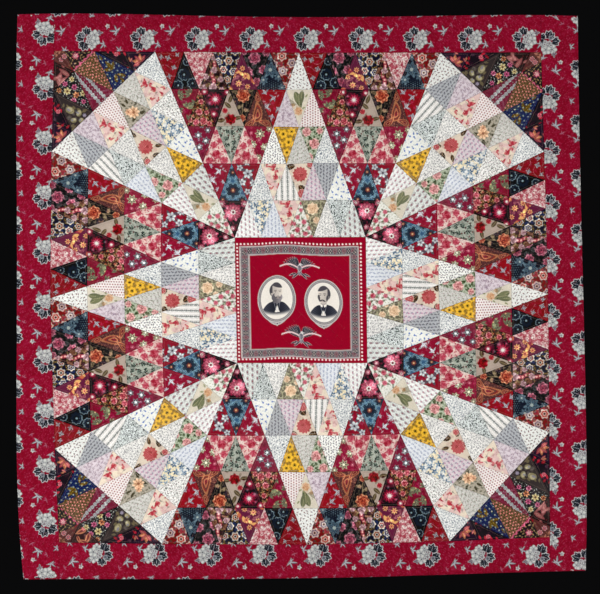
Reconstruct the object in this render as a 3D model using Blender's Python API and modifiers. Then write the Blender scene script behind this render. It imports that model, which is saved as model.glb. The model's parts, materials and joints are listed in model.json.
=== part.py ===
"""Pieced quilt hanging by its sleeve from a wall-mounted quilt rack.

Frame: metres, +Z up, +X to the right as seen by someone facing the quilt,
-Y towards that person.  The origin is the centre of the wall board's back
face, so the wall is the plane Y = 0.

The rack is a plain wooden board with two slotted brackets.  A round rod
lies in the open slots on turned journals and carries a push-on knob at
each end.  The quilt is a sandwich of a pieced top, a batting and a backing
of three widths, bound on four sides, with a cloth sleeve on its back that
the rod passes through.
"""
import math

import bpy
import bmesh
from mathutils import Matrix, Vector

# ----------------------------------------------------------------------------
# Driving dimensions
# ----------------------------------------------------------------------------
GAP = 0.0003                  # clearance between faces that touch

# rack
BOARD_LEN = 2.060
BOARD_H = 0.080
BOARD_T = 0.018
BRACKET_X = 0.990             # inner face of each bracket
BRACKET_W = 0.020
ROD_Y = -0.060                # rod axis
ROD_Z = 0.0
ROD_R = 0.0175
ROD_HALF = 0.985              # half length of the full-diameter stretch
JOURNAL_R = 0.0080
JOURNAL_END = 1.037
SLOT_R = 0.0083
FINIAL_IN = 1.013
FINIAL_OUT = 1.044
FINIAL_R = 0.0150
BORE_R = 0.0083
KEYHOLE_X = 0.800

# quilt layers, from the back face forwards
SLEEVE_T = 0.0015
SLEEVE_CLEAR = 0.0005
SLEEVE_HALF = 0.972
SLEEVE_TOP = 0.030            # above the rod axis
SLEEVE_DROP = 0.078           # below the rod axis
QUILT_BACK = ROD_Y - ROD_R - SLEEVE_CLEAR - SLEEVE_T - GAP
BACKING_T = 0.0010
BATTING_T = 0.0040
TOP_T = 0.0012
BINDING_W = 0.006

# The quilt was sewn by hand and isn't dead square.  Its plan is given by its
# seam junctions (X, Z).
OUTLINE = {
    "nw": (-1.0735, 0.0606), "ne": (1.0564, 0.0546),
    "se": (1.0860, -2.0541), "sw": (-1.0503, -2.0879),
}
# how far each side bows outwards at a quarter, half and three quarters of
# its length, taken clockwise from the top left corner
BOW = {
    "top": (0.000, -0.0075, -0.001), "right": (0.000, 0.005, 0.009),
    "bottom": (0.007, 0.012, 0.007), "left": (0.021, 0.014, 0.010),
}
FIELD = {
    "nw": (-0.934, -0.079), "n_l": (-0.551, -0.082), "n": (-0.004, -0.086),
    "n_r": (0.533, -0.085), "ne": (0.916, -0.084), "e_t": (0.928, -0.461),
    "e": (0.942, -1.003), "e_b": (0.948, -1.528), "se": (0.950, -1.926),
    "s_r": (0.569, -1.942), "s": (0.026, -1.955), "s_l": (-0.524, -1.952),
    "sw": (-0.915, -1.947), "w_b": (-0.932, -1.591), "w": (-0.949, -1.019),
    "w_t": (-0.944, -0.460),
}
MEDALLION = {
    "nw": (-0.248, -0.788), "ne": (0.250, -0.786),
    "se": (0.256, -1.265), "sw": (-0.239, -1.265),
}

# ----------------------------------------------------------------------------
# Clean start and collections
# ----------------------------------------------------------------------------
for ob in list(bpy.data.objects):
    bpy.data.objects.remove(ob, do_unlink=True)

scene = bpy.context.scene
parts = bpy.data.collections.new("quilt_on_a_rack")
cutters = bpy.data.collections.new("cutters")
scene.collection.children.link(parts)
scene.collection.children.link(cutters)


def material(name, rgb, rough, metal=0.0):
    m = bpy.data.materials.new(name)
    m.use_nodes = True
    b = m.node_tree.nodes["Principled BSDF"]
    b.inputs["Base Color"].default_value = (*rgb, 1.0)
    b.inputs["Roughness"].default_value = rough
    b.inputs["Metallic"].default_value = metal
    m.diffuse_color = (*rgb, 1.0)
    return m


# Plan orientation: a curve's local XY plane stands up as the world's XZ
# plane, or as its YZ plane for the brackets and the sleeve.
PLAN = Matrix(((1, 0, 0), (0, 0, -1), (0, 1, 0))).to_4x4()
SIDE = Matrix(((0, 0, 1), (1, 0, 0), (0, 1, 0))).to_4x4()


def flat(name, loops, centre, thickness, turn, mat, coll=parts):
    """A flat outline with a thickness: the first loop is the rim, the rest
    are holes."""
    cu = bpy.data.curves.new(name, "CURVE")
    cu.dimensions = "2D"
    cu.fill_mode = "BOTH"
    cu.extrude = thickness / 2.0
    for loop in loops:
        sp = cu.splines.new("POLY")
        sp.points.add(len(loop) - 1)
        for p, (a, b) in zip(sp.points, loop):
            p.co = (a, b, 0.0, 1.0)
        sp.use_cyclic_u = True
    ob = bpy.data.objects.new(name, cu)
    ob.matrix_world = Matrix.Translation(Vector(centre)) @ turn
    cu.materials.append(mat)
    coll.objects.link(ob)
    return ob


def as_mesh(ob):
    """The same object as a welded mesh, for a piece that is cut."""
    bpy.context.view_layer.update()
    dg = bpy.context.evaluated_depsgraph_get()
    me = bpy.data.meshes.new_from_object(ob.evaluated_get(dg))
    bm = bmesh.new()
    bm.from_mesh(me)
    bmesh.ops.remove_doubles(bm, verts=bm.verts, dist=0.00002)
    bmesh.ops.recalc_face_normals(bm, faces=bm.faces)
    bm.to_mesh(me)
    bm.free()
    name = ob.name
    mw = ob.matrix_world.copy()
    bpy.data.objects.remove(ob, do_unlink=True)
    new = bpy.data.objects.new(name, me)
    new.matrix_world = mw
    parts.objects.link(new)
    return new


def turned(name, profile, place, mat, steps=40, coll=parts):
    """A turned piece: profile is (radius, height) from the top centre down
    the outer side, about local Z."""
    me = bpy.data.meshes.new(name)
    vs = [(r, 0.0, h) for r, h in profile]
    me.from_pydata(vs, [(i, i + 1) for i in range(len(vs) - 1)], [])
    ob = bpy.data.objects.new(name, me)
    ob.matrix_world = place
    s = ob.modifiers.new("turn", "SCREW")
    s.axis = "Z"
    s.steps = steps
    s.render_steps = steps
    s.use_merge_vertices = True
    s.merge_threshold = 0.00001
    s.use_smooth_shade = True
    me.materials.append(mat)
    coll.objects.link(ob)
    return ob


def along_x(x, y, z, sign=1.0):
    """Local Z points to +X (or to -X), origin at x, y, z."""
    return Matrix.Translation((x, y, z)) @ Matrix.Rotation(
        sign * math.pi / 2.0, 4, "Y")


def along_y(x, y, z, sign=1.0):
    """Local Z points to +Y (or to -Y)."""
    return Matrix.Translation((x, y, z)) @ Matrix.Rotation(
        -sign * math.pi / 2.0, 4, "X")


def cut(target, cutter):
    cutter.hide_render = True
    cutter.display_type = "WIRE"
    b = target.modifiers.new("cut_" + cutter.name, "BOOLEAN")
    b.operation = "DIFFERENCE"
    b.solver = "EXACT"
    b.object = cutter


def cylinder_cutter(name, place, r, length, r_top=None, segs=24):
    """A cylinder or cone from z = 0 to z = length in its own frame."""
    me = bpy.data.meshes.new(name)
    bm = bmesh.new()
    bmesh.ops.create_cone(bm, cap_ends=True, segments=segs, radius1=r,
                          radius2=r if r_top is None else r_top, depth=length)
    bmesh.ops.translate(bm, verts=bm.verts, vec=(0, 0, length / 2.0))
    bm.to_mesh(me)
    bm.free()
    ob = bpy.data.objects.new(name, me)
    ob.matrix_world = place
    cutters.objects.link(ob)
    return ob


def box_object(name, size, centre, mat=None, coll=parts):
    me = bpy.data.meshes.new(name)
    bm = bmesh.new()
    bmesh.ops.create_cube(bm, size=1.0)
    bmesh.ops.scale(bm, verts=bm.verts, vec=size)
    bm.to_mesh(me)
    bm.free()
    ob = bpy.data.objects.new(name, me)
    ob.location = centre
    if mat is not None:
        me.materials.append(mat)
    coll.objects.link(ob)
    return ob


# ----------------------------------------------------------------------------
# Materials
# ----------------------------------------------------------------------------
oak = material("oak_board", (0.36, 0.21, 0.10), 0.45)
oak_light = material("oak_bracket", (0.40, 0.24, 0.12), 0.45)
ash = material("ash_rod", (0.55, 0.39, 0.23), 0.50)
walnut = material("walnut_finial", (0.16, 0.08, 0.045), 0.40)
steel = material("zinc_screw", (0.62, 0.62, 0.60), 0.35, 1.0)
plate_steel = material("keyhole_steel", (0.55, 0.55, 0.55), 0.38, 1.0)

# ----------------------------------------------------------------------------
# Rack: board, keyhole plates, brackets, their screws
# ----------------------------------------------------------------------------
board = box_object("wall_board", (BOARD_LEN, BOARD_T, BOARD_H),
                   (0.0, -BOARD_T / 2.0, 0.0), oak)
bv = board.modifiers.new("eased_edges", "BEVEL")
bv.width = 0.0025
bv.segments = 2
bv.limit_method = "ANGLE"

PLATE_W, PLATE_H, PLATE_T = 0.022, 0.058, 0.0016
POCKET_W, POCKET_H, POCKET_D = 0.014, 0.030, 0.0115
KEY_R, KEY_SLOT_R = 0.0055, 0.0026
KEY_Z = -0.007                # centre of the round entry
SCREW_R, SCREW_HEAD_R = 0.0016, 0.0032
PILOT_R = SCREW_R + GAP
WOODSCREW_R, WOODSCREW_HEAD_R = 0.0021, 0.0042


def keyhole_outline():
    """Round entry below, narrow slot above it, clockwise."""
    pts = []
    a0 = math.asin(KEY_SLOT_R / KEY_R)
    n = 20
    for i in range(n + 1):
        a = math.pi / 2.0 - a0 - (2.0 * math.pi - 2.0 * a0) * i / n
        pts.append((KEY_R * math.cos(a), KEY_Z + KEY_R * math.sin(a)))
    top = KEY_Z + 0.0165
    for i in range(9):
        a = math.pi - math.pi * i / 8.0
        pts.append((KEY_SLOT_R * math.cos(a), top + KEY_SLOT_R * math.sin(a)))
    return pts


def rounded_rect(w, h, r, n=4):
    pts = []
    for cx, cz, a0 in ((w / 2 - r, h / 2 - r, 0.0),
                       (-w / 2 + r, h / 2 - r, math.pi / 2),
                       (-w / 2 + r, -h / 2 + r, math.pi),
                       (w / 2 - r, -h / 2 + r, 1.5 * math.pi)):
        for i in range(n + 1):
            a = a0 + math.pi / 2.0 * i / n
            pts.append((cx + r * math.cos(a), cz + r * math.sin(a)))
    return pts


def screw_profile(head_r, shank_r, length, head_h):
    """Countersunk wood screw, head at local Z = 0, point at -length."""
    return [(0.0, 0.0), (head_r, 0.0), (shank_r, -head_h),
            (shank_r, -length + 0.004), (0.0, -length)]


for side, sx in (("left", -1.0), ("right", 1.0)):
    kx = sx * KEYHOLE_X
    # recess for the plate and a pocket behind it for the wall screw's head
    rec = box_object("cut_plate_" + side,
                     (PLATE_W + 2 * GAP, 0.004, PLATE_H + 2 * GAP),
                     (kx, 0.002 - PLATE_T - GAP, 0.0), None, cutters)
    cut(board, rec)
    poc = box_object("cut_pocket_" + side, (POCKET_W, 0.020, POCKET_H),
                     (kx, 0.010 - POCKET_D, 0.0015), None, cutters)
    cut(board, poc)
    plate = flat("keyhole_plate_" + side,
                 [rounded_rect(PLATE_W, PLATE_H, 0.003),
                  keyhole_outline()],
                 (kx, -PLATE_T / 2.0, 0.0), PLATE_T, PLAN, plate_steel)
    plate = as_mesh(plate)
    for k, (row, z) in enumerate((("upper", 0.0225), ("lower", -0.0225))):
        nm = side + "_" + row
        sink = cylinder_cutter("cut_plate_sink_" + nm,
                               along_y(kx, -PLATE_T - 0.0004, z),
                               SCREW_R + GAP, PLATE_T + 0.0006,
                               SCREW_HEAD_R + GAP * 1.4, segs=16)
        cut(plate, sink)
        pil = cylinder_cutter("cut_pilot_" + nm, along_y(kx, -0.0152, z),
                              PILOT_R, 0.0160, segs=16)
        cut(board, pil)
        turned("keyhole_screw_" + nm,
               screw_profile(SCREW_HEAD_R, SCREW_R, 0.0140, 0.0016),
               along_y(kx, -0.0003, z), steel, 16)

for side, sx in (("left", -1.0), ("right", 1.0)):
    # side profile (Y, Z) of a bracket: back edge on the board, an arm that
    # runs forward to an open-topped slot for the rod's journal
    back = -BOARD_T - GAP
    nose = ROD_Y - SLOT_R - 0.0062
    prof = [(back, 0.034), (back, -0.038)]
    for i in range(1, 10):          # quarter sweep under the arm
        a = math.pi / 2.0 * i / 10.0
        prof.append((back - 0.040 * math.sin(a) * 1.0,
                     -0.038 + 0.018 * (1.0 - math.cos(a))))
    prof += [(nose + 0.006, -0.0190), (nose + 0.0015, -0.0150),
             (nose, -0.0110), (nose, 0.0085), (nose + 0.0012, 0.0100),
             (ROD_Y - SLOT_R, 0.0100), (ROD_Y - SLOT_R, 0.0)]
    for i in range(1, 12):
        a = math.pi + math.pi * i / 12.0
        prof.append((ROD_Y + SLOT_R * math.cos(a), SLOT_R * math.sin(a)))
    prof += [(ROD_Y + SLOT_R, 0.0), (ROD_Y + SLOT_R, 0.0200),
             (ROD_Y + SLOT_R + 0.004, 0.0220), (back - 0.012, 0.0300)]
    br = flat("bracket_" + side, [prof],
              (sx * (BRACKET_X + BRACKET_W / 2.0), 0.0, 0.0), BRACKET_W,
              SIDE, oak_light)
    br = as_mesh(br)
    bx = sx * (BRACKET_X + BRACKET_W / 2.0)
    for row, z in (("upper", 0.014), ("lower", -0.022)):
        nm = side + "_" + row
        thru = cylinder_cutter("cut_thru_" + nm, along_y(bx, -0.030, z),
                               WOODSCREW_R + GAP, 0.032, segs=16)
        cut(board, thru)
        snk = cylinder_cutter("cut_sink_" + nm, along_y(bx, -0.0030, z),
                              WOODSCREW_R + GAP, 0.0034,
                              WOODSCREW_HEAD_R + 0.0012, segs=16)
        cut(board, snk)
        pil = cylinder_cutter("cut_bracket_pilot_" + nm,
                              along_y(bx, -0.0415, z), WOODSCREW_R + GAP,
                              0.030, segs=16)
        cut(br, pil)
        turned("bracket_screw_" + nm,
               screw_profile(WOODSCREW_HEAD_R, WOODSCREW_R, 0.0400, 0.0026),
               along_y(bx, -0.0004, z), steel, 16)

# ----------------------------------------------------------------------------
# Rod and the two push-on knobs
# ----------------------------------------------------------------------------
rod_profile = [(0.0, JOURNAL_END), (JOURNAL_R - 0.001, JOURNAL_END),
               (JOURNAL_R, JOURNAL_END - 0.001), (JOURNAL_R, ROD_HALF),
               (ROD_R - 0.0015, ROD_HALF), (ROD_R, ROD_HALF - 0.0015),
               (ROD_R, -ROD_HALF + 0.0015), (ROD_R - 0.0015, -ROD_HALF),
               (JOURNAL_R, -ROD_HALF), (JOURNAL_R, -JOURNAL_END + 0.001),
               (JOURNAL_R - 0.001, -JOURNAL_END), (0.0, -JOURNAL_END)]
turned("rod", rod_profile, along_x(0.0, ROD_Y, ROD_Z), ash, 48)

FL = FINIAL_OUT - FINIAL_IN
finial_profile = [(0.0, FL), (0.0050, FL - 0.0003), (0.0095, FL - 0.0018),
                  (0.0128, FL - 0.0050), (0.0146, FL - 0.0095),
                  (FINIAL_R, FL - 0.0140), (0.0143, FL - 0.0190),
                  (0.0125, FL - 0.0230), (0.0118, FL - 0.0250),
                  (0.0132, FL - 0.0268), (0.0136, FL - 0.0290),
                  (0.0130, 0.0), (BORE_R, 0.0),
                  (BORE_R, JOURNAL_END - FINIAL_IN + GAP),
                  (0.0, JOURNAL_END - FINIAL_IN + GAP)]
turned("finial_right", finial_profile, along_x(FINIAL_IN, ROD_Y, ROD_Z, 1.0),
       walnut, 40)
turned("finial_left", finial_profile, along_x(-FINIAL_IN, ROD_Y, ROD_Z, -1.0),
       walnut, 40)

# ----------------------------------------------------------------------------
# Quilt plan helpers
# ----------------------------------------------------------------------------


def bowed(p, q, bow, n=16):
    """Points from p to q (q left out), bowed outwards: clockwise order, so
    outwards is to the left of the direction of travel."""
    d = Vector((q[0] - p[0], q[1] - p[1]))
    out = Vector((-d.y, d.x)).normalized()
    b1, b2, b3 = bow
    pts = []
    for i in range(n):
        t = i / n
        # the quartic through 0, b1, b2, b3, 0 at the quarter points
        xs = (0.0, 0.25, 0.5, 0.75, 1.0)
        ys = (0.0, b1, b2, b3, 0.0)
        v = 0.0
        for j in range(1, 4):
            w = ys[j]
            for k in range(5):
                if k != j:
                    w *= (t - xs[k]) / (xs[j] - xs[k])
            v += w
        pts.append((p[0] + d.x * t + out.x * v, p[1] + d.y * t + out.y * v))
    return pts


def offset(loop, dist):
    """The clockwise loop moved inwards by dist."""
    n = len(loop)
    out = []
    for i in range(n):
        a, b, c = (Vector(loop[i - 1]), Vector(loop[i]),
                   Vector(loop[(i + 1) % n]))
        d1, d2 = (b - a).normalized(), (c - b).normalized()
        n1, n2 = Vector((d1.y, -d1.x)), Vector((d2.y, -d2.x))
        m = n1 + n2
        m = m / max(m.length_squared / 2.0, 1e-9)
        out.append(tuple(b + m * dist))
    return out


NS = 16
SIDES = (("top", "nw", "ne"), ("right", "ne", "se"),
         ("bottom", "se", "sw"), ("left", "sw", "nw"))
rim = []
for s, a, b in SIDES:
    rim += bowed(OUTLINE[a], OUTLINE[b], BOW[s], NS)
inner = offset(rim, BINDING_W)            # where the layers end


def layer(y_back, thickness):
    """Centre of a layer whose back face is at y_back."""
    return (0.0, y_back - thickness / 2.0, 0.0)


y_backing = QUILT_BACK
y_batting = y_backing - BACKING_T - GAP
y_top = y_batting - BATTING_T - GAP
y_front = y_top - TOP_T


def clockwise(loop):
    s = 0.0
    for i in range(len(loop)):
        x1, z1 = loop[i - 1]
        x2, z2 = loop[i]
        s += x1 * z2 - x2 * z1
    return loop if s < 0 else loop[::-1]


def patchwork(name, loop, rgb, rough=0.9):
    """One unit of the pieced top, drawn in by half a gap on each side."""
    return flat(name, [offset(clockwise(loop), GAP / 2.0)],
                layer(y_top, TOP_T), TOP_T, PLAN,
                material(name + "_cloth", rgb, rough))


# ----------------------------------------------------------------------------
# Quilt: pieced top
# ----------------------------------------------------------------------------
F, M = FIELD, MEDALLION
patchwork("centre_kerchief", [M["nw"], M["ne"], M["se"], M["sw"]],
          (0.52, 0.03, 0.06))
for nm, apex, a, b in (("north", "n", "nw", "ne"), ("east", "e", "ne", "se"),
                       ("south", "s", "se", "sw"), ("west", "w", "sw", "nw")):
    patchwork("star_point_" + nm, [F[apex], M[a], M[b]], (0.72, 0.70, 0.64))
for nm, apex, a, b in (("northeast", "ne", "n_r", "e_t"),
                       ("southeast", "se", "e_b", "s_r"),
                       ("southwest", "sw", "s_l", "w_b"),
                       ("northwest", "nw", "w_t", "n_l")):
    patchwork("star_point_" + nm, [M[apex], F[a], F[b]], (0.70, 0.69, 0.66))
    patchwork("corner_block_" + nm, [F[a], F[apex], F[b]],
              (0.16, 0.10, 0.09))
for nm, apex, a, b in (("north_east", "ne", "n", "n_r"),
                       ("east_north", "ne", "e_t", "e"),
                       ("east_south", "se", "e", "e_b"),
                       ("south_east", "se", "s_r", "s"),
                       ("south_west", "sw", "s", "s_l"),
                       ("west_south", "sw", "w_b", "w"),
                       ("west_north", "nw", "w", "w_t"),
                       ("north_west", "nw", "n_l", "n")):
    patchwork("dark_wedge_" + nm, [M[apex], F[a], F[b]], (0.30, 0.03, 0.05))

# borders: left and right run the full height, top and bottom fit between
field_top = [F["nw"], F["n_l"], F["n"], F["n_r"], F["ne"]]
field_right = [F["ne"], F["e_t"], F["e"], F["e_b"], F["se"]]
field_bottom = [F["se"], F["s_r"], F["s"], F["s_l"], F["sw"]]
field_left = [F["sw"], F["w_b"], F["w"], F["w_t"], F["nw"]]
side_inner = [inner[k * NS:(k + 1) * NS] + [inner[(k + 1) * NS % (4 * NS)]]
              for k in range(4)]


def cut_at(pts, x):
    """Where the run of points crosses the upright line at x."""
    for p, q in zip(pts, pts[1:]):
        if (p[0] - x) * (q[0] - x) <= 0 and p[0] != q[0]:
            t = (x - p[0]) / (q[0] - p[0])
            return (x, p[1] + (q[1] - p[1]) * t)
    return pts[0]


def within(pts, x0, x1):
    return [p for p in pts if x0 + 0.001 < p[0] < x1 - 0.001]


RED = (0.46, 0.01, 0.05)
tl, tr = (cut_at(side_inner[0], F["nw"][0]), cut_at(side_inner[0],
                                                   F["ne"][0]))
br_, bl = (cut_at(side_inner[2], F["se"][0]), cut_at(side_inner[2],
                                                     F["sw"][0]))
patchwork("border_top", [tl] + within(side_inner[0], tl[0], tr[0]) + [tr]
          + field_top[::-1], RED)
patchwork("border_right", [tr] + within(side_inner[0][:-1], tr[0], 9.0)
          + side_inner[1] + within(side_inner[2][1:], br_[0], 9.0) + [br_]
          + field_right[::-1], RED)
patchwork("border_bottom", [br_] + within(side_inner[2], bl[0], br_[0])
          + [bl] + field_bottom[::-1], RED)
patchwork("border_left", [bl] + within(side_inner[2][:-1], -9.0, bl[0])
          + side_inner[3] + within(side_inner[0][1:], -9.0, tl[0]) + [tl]
          + field_left[::-1], RED)

# ----------------------------------------------------------------------------
# Quilt: batting, three-width backing, binding, sleeve
# ----------------------------------------------------------------------------
flat("batting", [offset(inner, GAP)], layer(y_batting, BATTING_T), BATTING_T,
     PLAN, material("cotton_batting", (0.80, 0.76, 0.66), 0.95))

back_mat = material("backing_muslin", (0.72, 0.66, 0.54), 0.92)
SEAM_L, SEAM_R = -0.365, 0.365      # the backing's two long seams
ins = offset(inner, GAP)


def between(loop, x0, x1):
    """The loop clipped to the strip x0..x1."""
    def half(pts, x, keep_right):
        res = []
        for i in range(len(pts)):
            p, q = pts[i - 1], pts[i]
            pin = (p[0] >= x) == keep_right
            qin = (q[0] >= x) == keep_right
            if pin != qin:
                t = (x - p[0]) / (q[0] - p[0])
                res.append((x, p[1] + (q[1] - p[1]) * t))
            if qin:
                res.append(q)
        return res
    return half(half(loop, x0, True), x1, False)


for nm, x0, x1 in (("left", -2.0, SEAM_L - GAP / 2),
                   ("centre", SEAM_L + GAP / 2, SEAM_R - GAP / 2),
                   ("right", SEAM_R + GAP / 2, 2.0)):
    flat("backing_" + nm, [between(ins, x0, x1)],
         layer(y_backing, BACKING_T), BACKING_T, PLAN, back_mat)

bind_t = (QUILT_BACK + 0.0) - (y_front - GAP)
bind_in = offset(rim, BINDING_W - GAP)
for k, (s, a, b) in enumerate(SIDES):
    outer_run = rim[k * NS:(k + 1) * NS] + [rim[(k + 1) * NS % (4 * NS)]]
    inner_run = bind_in[k * NS:(k + 1) * NS] + [
        bind_in[(k + 1) * NS % (4 * NS)]]
    # mitred ends, each drawn back by half a gap
    def back_off(p, q, dist):
        v = Vector(q) - Vector(p)
        return tuple(Vector(p) + v.normalized() * dist)
    outer_run[0] = back_off(outer_run[0], outer_run[1], GAP * 0.75)
    outer_run[-1] = back_off(outer_run[-1], outer_run[-2], GAP * 0.75)
    inner_run[0] = back_off(inner_run[0], inner_run[1], GAP * 0.75)
    inner_run[-1] = back_off(inner_run[-1], inner_run[-2], GAP * 0.75)
    flat("binding_" + s, [outer_run + inner_run[::-1]],
         layer(QUILT_BACK, bind_t), bind_t, PLAN,
         material("binding_" + s + "_cloth", (0.42, 0.01, 0.05), 0.9))

# sleeve: a flattened tube that hugs the rod, open at both ends
ri = ROD_R + SLEEVE_CLEAR


def sleeve_loop(grow):
    r = ri + grow
    f = ROD_Y - ri - grow
    pts = [(f, ROD_Z - SLEEVE_DROP + 0.0015 - grow * 1.2),
           (f, ROD_Z + SLEEVE_TOP - 0.0015 + grow * 0.8)]
    pts.append((f + 0.0035 + grow * 0.9, ROD_Z + SLEEVE_TOP - 0.0025
                + grow * 0.7))
    for i in range(0, 15):
        a = math.radians(84.0 - i * 7.5)
        pts.append((ROD_Y + r * math.cos(a), ROD_Z + r * math.sin(a)))
    pts.append((f + 0.0040 + grow * 1.1, ROD_Z - SLEEVE_DROP + 0.0025
                - grow * 1.0))
    return pts


flat("sleeve", [sleeve_loop(SLEEVE_T), sleeve_loop(0.0)], (0.0, 0.0, 0.0),
     2.0 * SLEEVE_HALF, SIDE, material("sleeve_muslin", (0.74, 0.69, 0.57),
                                       0.92))

# ----------------------------------------------------------------------------
# Joint axes: the rod with all it carries lifts from the slots; the quilt
# swings about the rod; each knob pulls off along the rod.
# ----------------------------------------------------------------------------
RACK = [o for o in parts.objects
        if o.name.startswith(("wall_board", "keyhole_", "bracket_"))]
ROD_PARTS = [o for o in parts.objects if o.name == "rod"]
QUILT_PARTS = [o for o in parts.objects if o not in RACK
               and o not in ROD_PARTS and not o.name.startswith("finial_")]


def pivot(name, at, children, parent=None):
    e = bpy.data.objects.new(name, None)
    e.location = at
    e.empty_display_size = 0.05
    scene.collection.objects.link(e)
    if parent is not None:
        e.parent = parent
        e.matrix_parent_inverse = parent.matrix_world.inverted()
    bpy.context.view_layer.update()
    for c in children:
        c.parent = e
        c.matrix_parent_inverse = e.matrix_world.inverted()
    return e


lift = pivot("rod_lift_axis", (0.0, ROD_Y, ROD_Z), ROD_PARTS)
swing = pivot("quilt_swing_axis", (0.0, ROD_Y, ROD_Z), QUILT_PARTS, lift)
for side, x in (("left", -FINIAL_IN), ("right", FINIAL_IN)):
    pivot("finial_%s_axis" % side, (x, ROD_Y, ROD_Z),
          [o for o in parts.objects if o.name == "finial_" + side], lift)
bpy.context.view_layer.update()
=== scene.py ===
"""A medallion quilt of pieced triangles, hung by its sleeve on a wall rack.

Units are metres in the model's own frame (+Z up, the wall at y = 0, the quilt
hanging in the plane y = -0.08), except inside the print engine, which draws
each cotton in millimetres.
"""
import math
import sys
import json

import bpy
import numpy as np
from mathutils import Vector
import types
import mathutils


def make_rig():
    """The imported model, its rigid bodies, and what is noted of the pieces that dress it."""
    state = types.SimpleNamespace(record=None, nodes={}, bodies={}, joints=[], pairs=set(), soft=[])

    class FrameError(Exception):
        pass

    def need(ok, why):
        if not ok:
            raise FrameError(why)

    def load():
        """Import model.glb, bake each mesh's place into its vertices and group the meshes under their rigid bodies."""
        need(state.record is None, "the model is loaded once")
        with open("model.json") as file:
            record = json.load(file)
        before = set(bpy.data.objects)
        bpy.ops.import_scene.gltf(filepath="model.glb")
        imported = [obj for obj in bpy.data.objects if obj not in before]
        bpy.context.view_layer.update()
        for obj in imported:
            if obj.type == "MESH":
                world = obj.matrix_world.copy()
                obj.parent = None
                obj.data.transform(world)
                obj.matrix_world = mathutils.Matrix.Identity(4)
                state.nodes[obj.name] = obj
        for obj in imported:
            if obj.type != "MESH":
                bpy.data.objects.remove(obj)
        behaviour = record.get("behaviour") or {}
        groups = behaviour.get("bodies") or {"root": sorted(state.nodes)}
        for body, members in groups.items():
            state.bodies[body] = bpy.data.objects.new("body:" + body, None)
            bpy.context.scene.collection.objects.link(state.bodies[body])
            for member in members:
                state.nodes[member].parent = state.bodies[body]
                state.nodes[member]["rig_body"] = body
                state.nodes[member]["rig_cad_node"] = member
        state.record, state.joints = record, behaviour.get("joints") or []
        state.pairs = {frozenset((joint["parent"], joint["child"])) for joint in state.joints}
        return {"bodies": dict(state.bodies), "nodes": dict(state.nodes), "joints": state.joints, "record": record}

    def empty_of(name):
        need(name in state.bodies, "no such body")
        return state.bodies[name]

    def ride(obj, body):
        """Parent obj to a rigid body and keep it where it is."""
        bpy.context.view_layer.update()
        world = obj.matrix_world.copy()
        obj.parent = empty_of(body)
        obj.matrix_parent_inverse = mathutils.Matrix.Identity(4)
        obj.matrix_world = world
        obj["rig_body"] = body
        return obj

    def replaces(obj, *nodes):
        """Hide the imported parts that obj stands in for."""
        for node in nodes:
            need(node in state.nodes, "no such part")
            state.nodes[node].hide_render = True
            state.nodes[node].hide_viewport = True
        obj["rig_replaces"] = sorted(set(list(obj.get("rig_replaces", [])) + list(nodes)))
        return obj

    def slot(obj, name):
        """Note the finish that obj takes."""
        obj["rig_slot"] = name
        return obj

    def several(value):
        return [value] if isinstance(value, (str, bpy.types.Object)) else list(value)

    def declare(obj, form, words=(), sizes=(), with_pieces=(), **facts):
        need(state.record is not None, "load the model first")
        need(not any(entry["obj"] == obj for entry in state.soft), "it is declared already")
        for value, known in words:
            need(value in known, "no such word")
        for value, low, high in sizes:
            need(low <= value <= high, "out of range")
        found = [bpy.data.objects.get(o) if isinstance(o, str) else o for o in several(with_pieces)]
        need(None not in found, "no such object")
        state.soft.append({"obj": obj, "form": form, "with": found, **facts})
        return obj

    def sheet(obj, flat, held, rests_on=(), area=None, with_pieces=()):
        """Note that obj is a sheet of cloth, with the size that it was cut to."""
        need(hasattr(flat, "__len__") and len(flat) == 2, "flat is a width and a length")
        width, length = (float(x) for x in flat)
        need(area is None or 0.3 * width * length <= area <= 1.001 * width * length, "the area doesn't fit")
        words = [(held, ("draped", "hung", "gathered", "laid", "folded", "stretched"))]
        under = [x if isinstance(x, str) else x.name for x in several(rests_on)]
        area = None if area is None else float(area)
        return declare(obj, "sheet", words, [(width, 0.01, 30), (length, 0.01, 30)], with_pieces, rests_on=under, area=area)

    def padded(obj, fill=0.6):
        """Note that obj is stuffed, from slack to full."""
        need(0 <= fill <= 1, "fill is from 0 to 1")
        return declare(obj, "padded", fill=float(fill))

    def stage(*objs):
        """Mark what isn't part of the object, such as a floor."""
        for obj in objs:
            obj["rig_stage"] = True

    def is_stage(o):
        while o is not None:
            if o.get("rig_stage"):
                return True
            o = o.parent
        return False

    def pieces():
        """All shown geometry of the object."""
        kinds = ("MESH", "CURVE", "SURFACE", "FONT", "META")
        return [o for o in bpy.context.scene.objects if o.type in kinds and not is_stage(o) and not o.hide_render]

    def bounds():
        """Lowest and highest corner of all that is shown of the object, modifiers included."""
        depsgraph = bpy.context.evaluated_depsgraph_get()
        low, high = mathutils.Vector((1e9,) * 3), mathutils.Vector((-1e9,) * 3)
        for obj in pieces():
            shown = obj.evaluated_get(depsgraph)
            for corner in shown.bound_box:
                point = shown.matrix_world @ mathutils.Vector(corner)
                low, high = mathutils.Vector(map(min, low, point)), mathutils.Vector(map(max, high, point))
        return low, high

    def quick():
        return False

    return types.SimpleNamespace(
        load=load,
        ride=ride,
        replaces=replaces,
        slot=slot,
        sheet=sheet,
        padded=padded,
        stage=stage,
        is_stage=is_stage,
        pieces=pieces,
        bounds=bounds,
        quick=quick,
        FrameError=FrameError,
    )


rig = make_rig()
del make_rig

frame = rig.load()
CAD_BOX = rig.bounds()
scene = bpy.context.scene
NODES = frame["nodes"]
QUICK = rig.quick()
KEY = 246.0

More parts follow.
